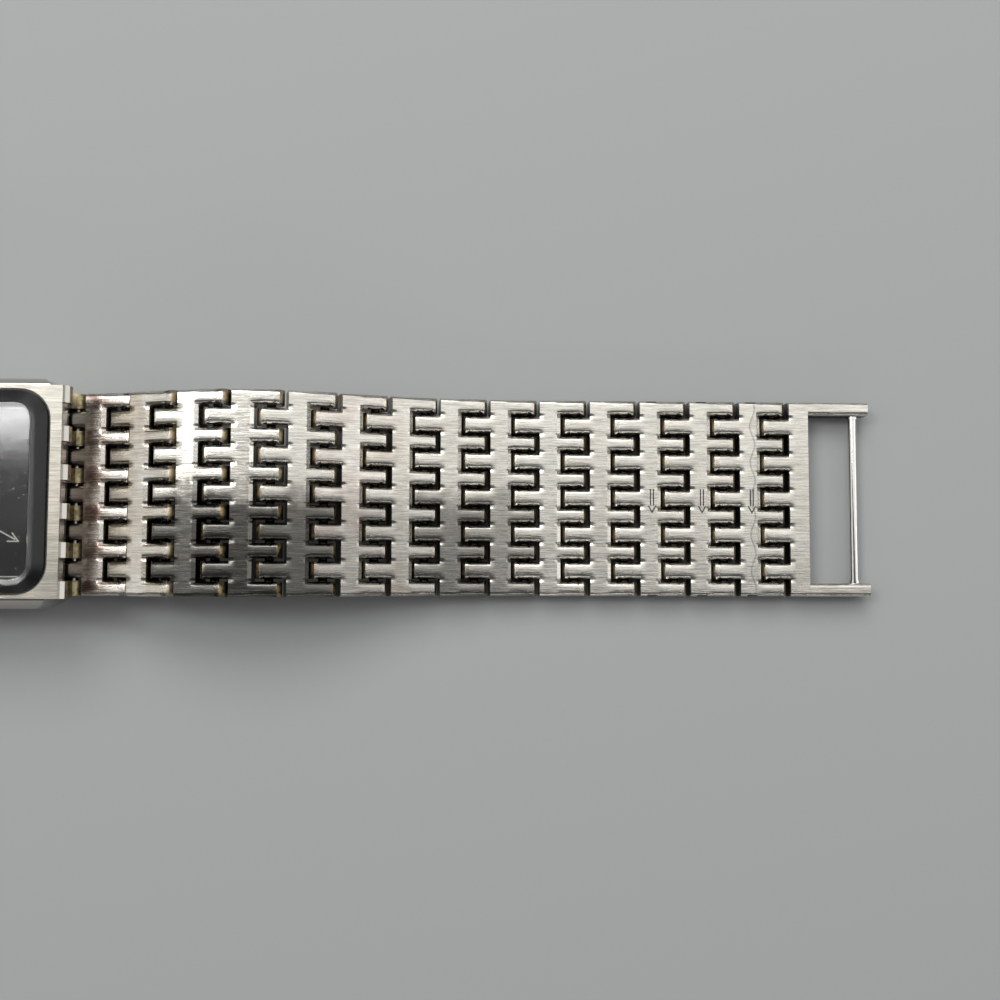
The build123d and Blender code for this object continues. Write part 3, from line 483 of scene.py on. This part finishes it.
# %% [markdown]
# ## Case
# The case has three finishes and a painted shade: a plate brushed along the band, polished flanks, knuckles
# whose plating has worn down to olive brass, and a painted black shade behind them for the shadow in the
# slots. Where each one starts is known in millimetres, so one material holds all four and blends them by
# place. Each pair of values below says from where to where one gives way to the next.

# %% Case metal
WATCH = Matrix.Identity(4)
PLATE_STARTS = (7.3, 7.42)
KNUCKLES_START, KNUCKLES_STOP = (12.7, 12.9), (5.6, 6.2)
END_WALL_STARTS, END_WALL_STOPS = (13.6, 13.72), (6.9, 7.0)
SLOT_SHADE_STARTS, SLOT_SHADE_STOPS, SLOT_SHADE_SIDE = (11.2, 11.6), (12.6, 12.72), (8.9, 9.0)
PLATE_METAL = (0.38, 0.365, 0.32, 1)
FLANK_METAL = (0.50, 0.48, 0.44, 1)
OLIVE_BRASS, BROWN_BRASS = (0.46, 0.40, 0.23, 1), (0.20, 0.15, 0.09, 1)
BRUSH_DEPTH = 0.02


def case_metal():
    made, tree, shader = start_material("case_metal")
    local = own_frame(tree, WATCH)
    x, y, z = split(tree, local)
    out = maths(tree, "ABSOLUTE", x)
    grain = group_node(tree, grain_group, Vector=local, Seed=3.0)
    dull = group_node(tree, tarnish_group, Vector=local, Seed=11.0, Amount=0.3)
    on_plate = ramp(tree, z, *PLATE_STARTS)
    low = fade(tree, z, *KNUCKLES_STOP)
    end_wall = times(tree, ramp(tree, out, *END_WALL_STARTS), fade(tree, z, *END_WALL_STOPS))
    knuckle = maths(tree, "MAXIMUM", times(tree, ramp(tree, out, *KNUCKLES_START), low), end_wall)
    # Painted shade: the slots behind the knuckles are blended to near black for the shadow that falls in them.
    behind = times(tree, fade(tree, out, *SLOT_SHADE_STOPS), times(tree, ramp(tree, out, *SLOT_SHADE_STARTS), low))
    slot_shade = times(tree, behind, fade(tree, maths(tree, "ABSOLUTE", y), *SLOT_SHADE_SIDE))
    shade = plus(tree, 0.66, times(tree, grain["Streak"], 0.4))
    brushed = shaded(tree, blend_colours(tree, dull["Mask"], PLATE_METAL, BEIGE), shade)
    colour = blend_colours(tree, on_plate, FLANK_METAL, brushed)
    spots = ramp(tree, noise(tree, local, scale=1.8, seed=5.0, detail=4.0, roughness=0.7), 0.42, 0.6)
    colour = blend_colours(tree, knuckle, colour, blend_colours(tree, spots, OLIVE_BRASS, BROWN_BRASS))
    tree.links.new(blend_colours(tree, slot_shade, colour, SHADE_BLACK), shader.inputs["Base Color"])
    rough = plus(tree, 0.12, times(tree, on_plate, 0.22))
    rough = plus(tree, rough, times(tree, maths(tree, "MAXIMUM", knuckle, slot_shade), 0.3))
    tree.links.new(rough, shader.inputs["Roughness"])
    height = times(tree, grain["Height"], plus(tree, 0.06, on_plate))
    set_bump(tree, shader, height, BRUSH_DEPTH, strength=0.6)
    return made


dress("case_body", case_metal())
print("case dressed")

# %% [markdown]
# ## Other brushed, drawn and polished metal
# The back, the crown, the clasp and the pins have plainer finishes. One function serves them: the grain can
# run along any axis, because the vector is turned before it enters the group, and its strength is a value.

# %% Plain metal
ALONG, ACROSS = (0.0, 0.0, 0.0), (0.0, 0.0, pi / 2)
WORN_SHADE = 0.7


def plain_metal(name, colour, roughness, grain, turn, seed, fineness, wear=0.2):
    made, tree, shader = start_material(name)
    local = own_frame(tree, WATCH)
    turned = put(tree, "ShaderNodeMapping", {"vector_type": "POINT"}, Vector=local, Rotation=turn).outputs[0]
    lines = group_node(tree, grain_group, Vector=turned, Seed=seed, Fineness=fineness)
    dull = group_node(tree, tarnish_group, Vector=local, Seed=seed, Amount=wear)
    darker = tuple(channel * WORN_SHADE for channel in colour[:3]) + (1,)
    shade = plus(tree, 1.0 - 0.35 * grain, times(tree, lines["Streak"], 0.4 * grain))
    mixed = shaded(tree, blend_colours(tree, dull["Mask"], colour, darker), shade)
    tree.links.new(mixed, shader.inputs["Base Color"])
    tree.links.new(plus(tree, roughness, times(tree, dull["Mask"], 0.15)), shader.inputs["Roughness"])
    set_bump(tree, shader, lines["Height"], BRUSH_DEPTH, strength=grain)
    return made


def dress_plainly(finishes):
    """Each row: piece, material, colour, roughness, grain, direction, seed, fineness and perhaps wear."""
    for piece, material, *values in finishes:
        dress(piece, plain_metal(material, *values))
    print("dressed plainly", len(finishes))


STEEL = (0.60, 0.59, 0.57, 1)
GOLD_BRASS = (0.72, 0.55, 0.26, 1)
drawn = ("case_pin_right", "case_pin_left", "clasp_hinge_pin", "stem", "setting_lever")
dress_plainly([
    ("case_back", "back_metal", (0.66, 0.65, 0.62, 1), 0.25, 0.6, ACROSS, 21.0, 0.8),
    ("crown", "crown_metal", (0.70, 0.68, 0.62, 1), 0.18, 0.35, ACROSS, 23.0, 1.6),
    ("frame_bar", "bar_metal", (0.76, 0.75, 0.72, 1), 0.08, 0.15, ACROSS, 25.0, 1.6, 0.1),
    ("clasp_cover", "cover_metal", SILVER, 0.22, 0.8, ALONG, 41.0, 1.0, 0.3),
    ("clasp_hook", "hook_metal", SILVER, 0.24, 0.6, ACROSS, 43.0, 1.0, 0.4),
    ("clasp_latch", "latch_metal", (0.70, 0.68, 0.63, 1), 0.16, 0.4, ACROSS, 45.0, 1.4, 0.2),
    *((name, f"drawn_{name}", STEEL, 0.25, 0.4, ACROSS, 31.0 + number, 2.0)
      for number, name in enumerate(drawn)),
])

# %% [markdown]
# ## Crystal and its joint
# The crystal is a thick clear block with a bevelled rim. It keeps a plain transmission. Its roughness rises
# where it has been rubbed, and its ground rim is greyer and rougher than its top. The joint round it is a
# dark rubber that has gone grey in places.

# %% Crystal and gaskets
RIM_STARTS, RIM_STOPS = (7.6, 7.7), (8.44, 8.48)


def crystal_glass():
    made, tree, shader = start_material("crystal_glass", 0.0, 0.02)
    shader.inputs["Transmission Weight"].default_value = 1.0
    shader.inputs["IOR"].default_value = 1.5
    local = own_frame(tree, WATCH)
    height = split(tree, local)[2]
    rim = times(tree, ramp(tree, height, *RIM_STARTS), fade(tree, height, *RIM_STOPS))
    colour = blend_colours(tree, rim, (0.93, 0.94, 0.93, 1), (0.55, 0.56, 0.56, 1))
    tree.links.new(colour, shader.inputs["Base Color"])
    cloud = noise(tree, local, scale=1.2, seed=2.0, detail=5.0, roughness=0.7, stretch=(0.3, 1.0, 1.0))
    rubbed = ramp(tree, cloud, 0.35, 0.7, 0.05, 0.12)
    tree.links.new(plus(tree, rubbed, times(tree, rim, 0.3)), shader.inputs["Roughness"])
    return made


def seal_rubber():
    made, tree, shader = start_material("seal_rubber", 0.0, 0.6)
    worn = ramp(tree, noise(tree, own_frame(tree, WATCH), scale=6.0, seed=4.0), 0.3, 0.7)
    colour = blend_colours(tree, worn, (0.07, 0.07, 0.065, 1), (0.16, 0.155, 0.14, 1))
    tree.links.new(colour, shader.inputs["Base Color"])
    tree.links.new(plus(tree, 0.5, times(tree, worn, 0.25)), shader.inputs["Roughness"])
    return made


dress("crystal", crystal_glass())
seal = seal_rubber()
for name in ("crystal_gasket", "back_gasket"):
    dress(name, seal)
print("crystal and gaskets dressed")

# %% [markdown]
# ## Dial
# The dial is a dark satin disc, drawn with rays that run out from the middle. A thin pale line along its long
# edges and a fainter one along the short ones are a painted reflection of the crystal's bevelled rim, and a
# little pale dust lies on it. The markers and the hands are champagne-coloured metal.

# %% Dial
DIAL_DARK, DIAL_GREY = (0.006, 0.006, 0.006, 1), (0.022, 0.021, 0.019, 1)
PALE_DUST_AND_REFLECTION = (0.75, 0.74, 0.7, 1)
LONG_LINE, LONG_LINE_SHARE = 7.3, 0.8
SHORT_LINE, SHORT_LINE_SHARE = 10.2, 0.12
LINE_INNER, LINE_OUTER = 0.02, 0.05
RAYS_PER_RADIAN = 60.0


def dial_paint():
    made, tree, shader = start_material("dial_paint", 0.35, 0.32)
    local = own_frame(tree, WATCH)
    x, y, _ = split(tree, local)
    turn = times(tree, maths(tree, "ARCTAN2", y, x), RAYS_PER_RADIAN)
    ray_place = put(tree, "ShaderNodeCombineXYZ", X=turn, Y=0.0, Z=0.0).outputs[0]
    rays = ramp(tree, noise(tree, ray_place, scale=1.0, seed=6.0, detail=3.0, roughness=0.6), 0.35, 0.65)
    colour = blend_colours(tree, rays, DIAL_DARK, DIAL_GREY)
    # Painted reflection: the pale lines along the edges stand in for the crystal rim's reflection.
    for across, edge, share in ((y, LONG_LINE, LONG_LINE_SHARE), (x, SHORT_LINE, SHORT_LINE_SHARE)):
        off = maths(tree, "ABSOLUTE", minus(tree, maths(tree, "ABSOLUTE", across), edge))
        colour = blend_colours(tree, ramp(tree, off, LINE_INNER, LINE_OUTER, share, 0.0), colour, PALE_DUST_AND_REFLECTION)
    cells = put(tree, "ShaderNodeTexVoronoi", {"feature": "F1"}, Vector=local, Scale=1.9)
    chance = put(tree, "ShaderNodeSeparateColor", Color=cells.outputs["Color"]).outputs[0]
    dust = maths(tree, "LESS_THAN", cells.outputs["Distance"], times(tree, chance, 0.17))
    colour = blend_colours(tree, times(tree, dust, 0.55), colour, PALE_DUST_AND_REFLECTION)
    tree.links.new(colour, shader.inputs["Base Color"])
    tree.links.new(plus(tree, 0.28, times(tree, dust, 0.4)), shader.inputs["Roughness"])
    return made


dress("dial", dial_paint())
champagne = plain_metal("marker_metal", (0.78, 0.74, 0.62, 1), 0.16, 0.3, ALONG, 51.0, 2.0, 0.1)
for name in ("dial_markers", "hour_hand", "minute_hand"):
    dress(name, champagne)
dial_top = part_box("dial")[1][2]
print("dial top at", round(dial_top / MM, 2), "mm")

# %% [markdown]
# ## The pale arrow
# The photograph shows a small pale arrow low on the dial's right. It is three thin raised strokes, made as
# one mesh: every stroke is a bar whose upper edges lean in, so that they catch the light.

# %% Dial arrow
ARROW_TIP = (9.42, -4.25)
ARROW_STROKES = (((7.7, -3.3), (9.1, -4.06)), ((8.89, -3.56), ARROW_TIP), ((8.5, -4.25), ARROW_TIP))
STROKE_WIDTH, STROKE_ROOT, STROKE_RISE = 0.14, 0.02, 0.05
STROKE_LEAN = 0.2


def mark_paint():
    made, tree, shader = start_material("mark_paint", 0.0, 0.4)
    flaked = ramp(tree, noise(tree, own_frame(tree, WATCH), scale=5.0, seed=12.0), 0.3, 0.6)
    colour = blend_colours(tree, flaked, (0.72, 0.71, 0.66, 1), (0.93, 0.92, 0.88, 1))
    tree.links.new(colour, shader.inputs["Base Color"])
    return made


def stroke(mesh, start, end, width, low, high):
    """Adds one raised stroke between two points of the dial, with sloping sides."""
    start, end = Vector(start), Vector(end)
    along = (end - start).normalized()
    aside = Vector((-along.y, along.x))
    corners = []
    for height, inset in ((low, 0.0), (high, width * STROKE_LEAN)):
        for place, sign in ((start, -1), (end, 1)):
            for side in (-sign, sign):
                spot = place + along * sign * (width / 2 - inset) + aside * side * (width / 2 - inset)
                corners.append(mesh.verts.new((spot.x * MM, spot.y * MM, height)))
    bottom, top = corners[:4], corners[4:]
    mesh.faces.new(bottom[::-1])
    mesh.faces.new(top)
    for n in range(4):
        mesh.faces.new((bottom[n], bottom[(n + 1) % 4], top[(n + 1) % 4], top[n]))


def make_dial_arrow():
    mesh = bmesh.new()
    for start, end in ARROW_STROKES:
        stroke(mesh, start, end, STROKE_WIDTH, dial_top - STROKE_ROOT * MM, dial_top + STROKE_RISE * MM)
    bmesh.ops.recalc_face_normals(mesh, faces=mesh.faces)
    data = bpy.data.meshes.new("dial_arrow")
    mesh.to_mesh(data)
    mesh.free()
    piece = bpy.data.objects.new("dial_arrow", data)
    bpy.context.scene.collection.objects.link(piece)
    data.materials.append(mark_paint())
    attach(piece, "case")
    print("dial arrow faces", len(data.polygons))


make_dial_arrow()

# %% [markdown]
# ## Geometry Nodes for what repeats
# A minute track is sixty equal ticks on a circle, and a coil is one wire laid turn by turn. Each is a small
# tree: points, one shape on every point, then Realize Instances, because the export drops instances. The
# sizes are inputs of the tree, so they can be changed without touching the nodes.

# %% Geometry Nodes helpers
def new_tree(name, inputs):
    tree = bpy.data.node_groups.new(name, "GeometryNodeTree")
    for label, kind, value in inputs:
        socket = tree.interface.new_socket(label, in_out="INPUT", socket_type="NodeSocket" + kind)
        if value is not None:
            socket.default_value = value
    tree.interface.new_socket("Material", in_out="INPUT", socket_type="NodeSocketMaterial")
    tree.interface.new_socket("Geometry", in_out="OUTPUT", socket_type="NodeSocketGeometry")
    return tree, tree.nodes.new("NodeGroupInput").outputs, tree.nodes.new("NodeGroupOutput").inputs


def close_tree(tree, given, result, instances):
    """Every tree ends the same way: real geometry in its place, then its material."""
    placed = put(tree, "GeometryNodeTransform", Geometry=instances, Translation=given["Centre"]).outputs[0]
    real = put(tree, "GeometryNodeRealizeInstances", Geometry=placed).outputs[0]
    dressed = put(tree, "GeometryNodeSetMaterial", Geometry=real, Material=given["Material"]).outputs[0]
    tree.links.new(dressed, result[0])


def grow(name, tree, values, body):
    """Runs a tree once and keeps its result as a plain mesh that rides a body."""
    seed_object = bpy.data.objects.new(name + "_seed", bpy.data.meshes.new(name + "_seed"))
    bpy.context.scene.collection.objects.link(seed_object)
    modifier = seed_object.modifiers.new("grow", "NODES")
    modifier.node_group = tree
    for item in tree.interface.items_tree:
        if item.in_out == "INPUT" and item.name in values:
            modifier[item.identifier] = values[item.name]
    graph = bpy.context.evaluated_depsgraph_get()
    mesh = bpy.data.meshes.new_from_object(seed_object.evaluated_get(graph), depsgraph=graph)
    bpy.data.objects.remove(seed_object)
    piece = bpy.data.objects.new(name, mesh)
    mesh.name = name
    bpy.context.scene.collection.objects.link(piece)
    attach(piece, body)
    print(name, "faces", len(mesh.polygons))


# %% [markdown]
# ## Minute track
# The track is printed in raised ink. A tick is a flat little bar, and each one turns to face the middle of
# the dial, because its rotation is taken from its own place on the circle.

# %% Minute track
TRACK_RADIUS = 6.95
TICK = Vector((0.5, 0.09, 0.03))


def track_tree():
    tree, given, result = new_tree("Minute track", [
        ("Ticks", "Int", 60), ("Radius", "Float", 0.0), ("Size", "Vector", None), ("Centre", "Vector", None)])
    ring = put(tree, "GeometryNodeMeshCircle", {"fill_type": "NONE"}, Vertices=given["Ticks"],
               Radius=given["Radius"]).outputs[0]
    tick = put(tree, "GeometryNodeMeshCube", Size=given["Size"]).outputs["Mesh"]
    turned = put(tree, "FunctionNodeAlignEulerToVector", {"axis": "X"},
                 Vector=put(tree, "GeometryNodeInputPosition").outputs[0]).outputs[0]
    ticks = put(tree, "GeometryNodeInstanceOnPoints", Points=ring, Instance=tick, Rotation=turned).outputs[0]
    close_tree(tree, given, result, ticks)
    return tree


track_values = {"Ticks": 60, "Radius": TRACK_RADIUS * MM, "Size": TICK * MM,
                "Centre": (0.0, 0.0, dial_top + TICK.z / 2 * MM), "Material": champagne}
grow("minute_track", track_tree(), track_values, "case")

# %% [markdown]
# ## Coil winding
# The coil of the motor is a few thousand turns of enamelled wire finer than a hair. Seventy thicker turns
# give the same look, and they lie on the coil's solid.

# %% Coil winding
COIL_TURNS = 70
WINDING_LENGTH, WINDING_RADIUS, WIRE_RADIUS = 6.8, 0.76, 0.05


def winding_tree():
    tree, given, result = new_tree("Winding", [
        ("Turns", "Int", COIL_TURNS), ("Length", "Float", 0.0), ("Radius", "Float", 0.0),
        ("Wire", "Float", 0.0), ("Centre", "Vector", None)])
    spacing = maths(tree, "DIVIDE", given["Length"], minus(tree, given["Turns"], 1.0))
    step = put(tree, "ShaderNodeCombineXYZ", X=0.0, Y=spacing, Z=0.0).outputs[0]
    first = times(tree, given["Length"], -0.5)
    start = put(tree, "ShaderNodeCombineXYZ", X=0.0, Y=first, Z=0.0).outputs[0]
    line = put(tree, "GeometryNodeMeshLine", {"mode": "OFFSET"}, Count=given["Turns"], Start_Location=start,
               Offset=step).outputs[0]
    loop = put(tree, "GeometryNodeCurvePrimitiveCircle", {"mode": "RADIUS"}, Resolution=28,
               Radius=given["Radius"]).outputs[0]
    section = put(tree, "GeometryNodeCurvePrimitiveCircle", {"mode": "RADIUS"}, Resolution=6,
                  Radius=given["Wire"]).outputs[0]
    turn = put(tree, "GeometryNodeCurveToMesh", Curve=loop, Profile_Curve=section).outputs[0]
    upright = put(tree, "GeometryNodeTransform", Geometry=turn, Rotation=(pi / 2, 0.0, 0.0)).outputs[0]
    turns = put(tree, "GeometryNodeInstanceOnPoints", Points=line, Instance=upright).outputs[0]
    close_tree(tree, given, result, turns)
    return tree


coil_box = [Vector(corner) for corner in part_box("coil")]
wire_enamel = plain_metal("wire_enamel", (0.62, 0.26, 0.12, 1), 0.22, 0.2, ACROSS, 61.0, 2.0, 0.1)
dress("coil", wire_enamel)
winding_values = {"Turns": COIL_TURNS, "Length": WINDING_LENGTH * MM, "Radius": WINDING_RADIUS * MM,
                  "Wire": WIRE_RADIUS * MM, "Centre": (coil_box[0] + coil_box[1]) / 2,
                  "Material": wire_enamel}
grow("coil_winding", winding_tree(), winding_values, "case")

# %% [markdown]
# ## The movement
# These pieces are inside the closed case and show only when it is opened. They still get their own finish:
# gilt brass for plates and wheels, blued screws, a bright button cell, a green board with copper tracks.

# %% Movement finishes
wheels = ("centre_wheel", "hour_wheel", "minute_wheel", "third_wheel")
WHEEL_TURN = 0.7
dress_plainly([
    ("main_plate", "plate_gilt", GOLD_BRASS, 0.28, 0.5, ALONG, 71.0, 0.8),
    ("train_bridge", "bridge_gilt", (0.74, 0.58, 0.30, 1), 0.2, 0.6, (0, 0, radians(30)), 73.0, 0.9),
    ("movement_screws", "blued_steel", (0.12, 0.16, 0.36, 1), 0.15, 0.2, ALONG, 81.0, 2.0, 0.1),
    ("battery", "cell_steel", (0.70, 0.70, 0.70, 1), 0.2, 0.5, (0, 0, radians(15)), 83.0, 0.7),
    ("battery_strap", "strap_gilt", (0.74, 0.60, 0.34, 1), 0.25, 0.4, ACROSS, 85.0, 1.2),
    ("stator", "stator_iron", (0.50, 0.50, 0.51, 1), 0.3, 0.5, ALONG, 87.0, 1.2),
    ("quartz_can", "can_metal", (0.72, 0.72, 0.73, 1), 0.2, 0.4, ALONG, 89.0, 1.4),
    ("rotor", "rotor_magnet", (0.16, 0.16, 0.17, 1), 0.35, 0.2, ALONG, 91.0, 1.4),
    *((name, f"gilt_{name}", GOLD_BRASS, 0.2, 0.4, (0, 0, number * WHEEL_TURN), 75.0 + number, 1.5, 0.1)
      for number, name in enumerate(wheels)),
])

# %% [markdown]
# ## Board and holder
# The board is a green lacquer over copper tracks, which a brick pattern stands for, and the tracks are a
# little rougher. The holder is moulded in a pale plastic with a fine dull skin.

# %% Board and holder
def circuit_board():
    made, tree, shader = start_material("board_green", 0.0, 0.3)
    local = own_frame(tree, WATCH)
    tracks = put(tree, "ShaderNodeTexBrick", {"offset": 0.5}, Vector=local, Scale=1.4,
                 Mortar_Size=0.03).outputs["Fac"]
    colour = blend_colours(tree, tracks, (0.02, 0.14, 0.06, 1), (0.10, 0.30, 0.12, 1))
    tree.links.new(colour, shader.inputs["Base Color"])
    tree.links.new(plus(tree, 0.22, times(tree, tracks, 0.2)), shader.inputs["Roughness"])
    return made


def holder_plastic():
    made, tree, shader = start_material("holder_plastic", 0.0, 0.5)
    local = own_frame(tree, WATCH)
    cloud = noise(tree, local, scale=1.5, seed=8.0)
    colour = blend_colours(tree, cloud, (0.70, 0.70, 0.66, 1), (0.82, 0.81, 0.77, 1))
    tree.links.new(colour, shader.inputs["Base Color"])
    set_bump(tree, shader, noise(tree, local, scale=12.0, seed=9.0), BRUSH_DEPTH, strength=0.3)
    return made


dress("circuit_board", circuit_board())
dress("movement_holder", holder_plastic())
print("board and holder dressed")

# %% [markdown]
# ## Floor
# A plain matt sheet, a little paler than the grey in the photograph, so that the metal stands out from it.

# %% Floor
FLOOR_HALF = 0.6


def make_floor():
    mesh = bpy.data.meshes.new("floor")
    corners = [(-FLOOR_HALF, -FLOOR_HALF, 0), (FLOOR_HALF, -FLOOR_HALF, 0), (FLOOR_HALF, FLOOR_HALF, 0),
               (-FLOOR_HALF, FLOOR_HALF, 0)]
    mesh.from_pydata(corners, [], [(0, 1, 2, 3)])
    floor = bpy.data.objects.new("floor", mesh)
    bpy.context.scene.collection.objects.link(floor)
    made, _, shader = start_material("floor_paper", 0.0, 0.85)
    shader.inputs["Base Color"].default_value = (0.35, 0.36, 0.355, 1)
    mesh.materials.append(made)


make_floor()
print("floor", 2 * FLOOR_HALF, "m wide")

# %% [markdown]
# ## Lamps and room
# Polished metal shows what it faces, so the light was placed by working out what each surface mirrors. The
# flat links see the wide ceiling lamp, the crystal's upper half sees the small window, the hump and the
# first links see the lamps at the sides, and the low lamp runs along the edges. The room is dim.

# %% Lamps and room
def lamp(name, place, aim, width, height, watts, turn=0.0):
    """A rectangular lamp in metres and watts, aimed at a point and then turned about the upright axis."""
    data = bpy.data.lights.new(name, "AREA")
    data.shape = "RECTANGLE"
    data.size, data.size_y, data.energy = width, height, watts
    made = bpy.data.objects.new(name, data)
    made.location = place
    facing = (Vector(aim) - Vector(place)).to_track_quat("-Z", "Y").to_matrix()
    made.rotation_euler = (Matrix.Rotation(radians(turn), 3, "Z") @ facing).to_euler()
    bpy.context.scene.collection.objects.link(made)


lamp("ceiling", (0.225, 0.44, 0.45), (0.225, 0.44, 0.0), 0.95, 0.9, 2.7, turn=-10.0)
lamp("key", (-0.05, 0.42, 0.42), (0.03, 0.0, 0.0), 0.34, 0.28, 1.5)
lamp("window", (-0.262, 0.165, 0.50), (0.02, 0.0, 0.0), 0.13, 0.22, 0.88)
lamp("side", (-0.56, 0.06, 0.46), (0.02, 0.0, 0.0), 0.5, 0.5, 0.6)
lamp("far side", (0.72, 0.03, 0.36), (0.04, 0.0, 0.0), 0.5, 0.42, 0.8)
lamp("low", (0.05, -0.55, 0.22), (0.03, 0.0, 0.0), 0.5, 0.06, 0.25)
world = bpy.data.worlds.new("room")
bpy.context.scene.world = world
world.use_nodes = True
background = world.node_tree.nodes["Background"]
background.inputs["Color"].default_value = (0.8, 0.81, 0.82, 1)
background.inputs["Strength"].default_value = 0.15
print("lamps", len(bpy.data.lights))

# %% [markdown]
# ## Camera
# The photograph looks almost straight down, from above the band and slightly below its middle. The place,
# the small tilts and the focal length were fitted to the rows of gaps between the links.

# %% Camera
CAMERA_PLACE = (47.698, -6.205, 99.992)
TILT_X, TILT_Y, TILT_Z = 0.06078, -0.0351, 0.002725
SENSOR_WIDTH = 36.0
FOCAL_SHARE = 1.0716


def make_camera():
    data = bpy.data.cameras.new("camera")
    data.sensor_width = SENSOR_WIDTH
    data.lens = SENSOR_WIDTH * FOCAL_SHARE
    data.clip_start = 0.01
    made = bpy.data.objects.new("camera", data)
    turn = Matrix.Rotation(TILT_Z, 4, "Z") @ Matrix.Rotation(TILT_Y, 4, "Y") @ Matrix.Rotation(TILT_X, 4, "X")
    made.matrix_world = Matrix.Translation(Vector(CAMERA_PLACE) * MM) @ turn
    bpy.context.scene.collection.objects.link(made)
    bpy.context.scene.camera = made


make_camera()
bpy.context.scene.view_settings.view_transform = "Standard"
print("camera", CAMERA_PLACE)
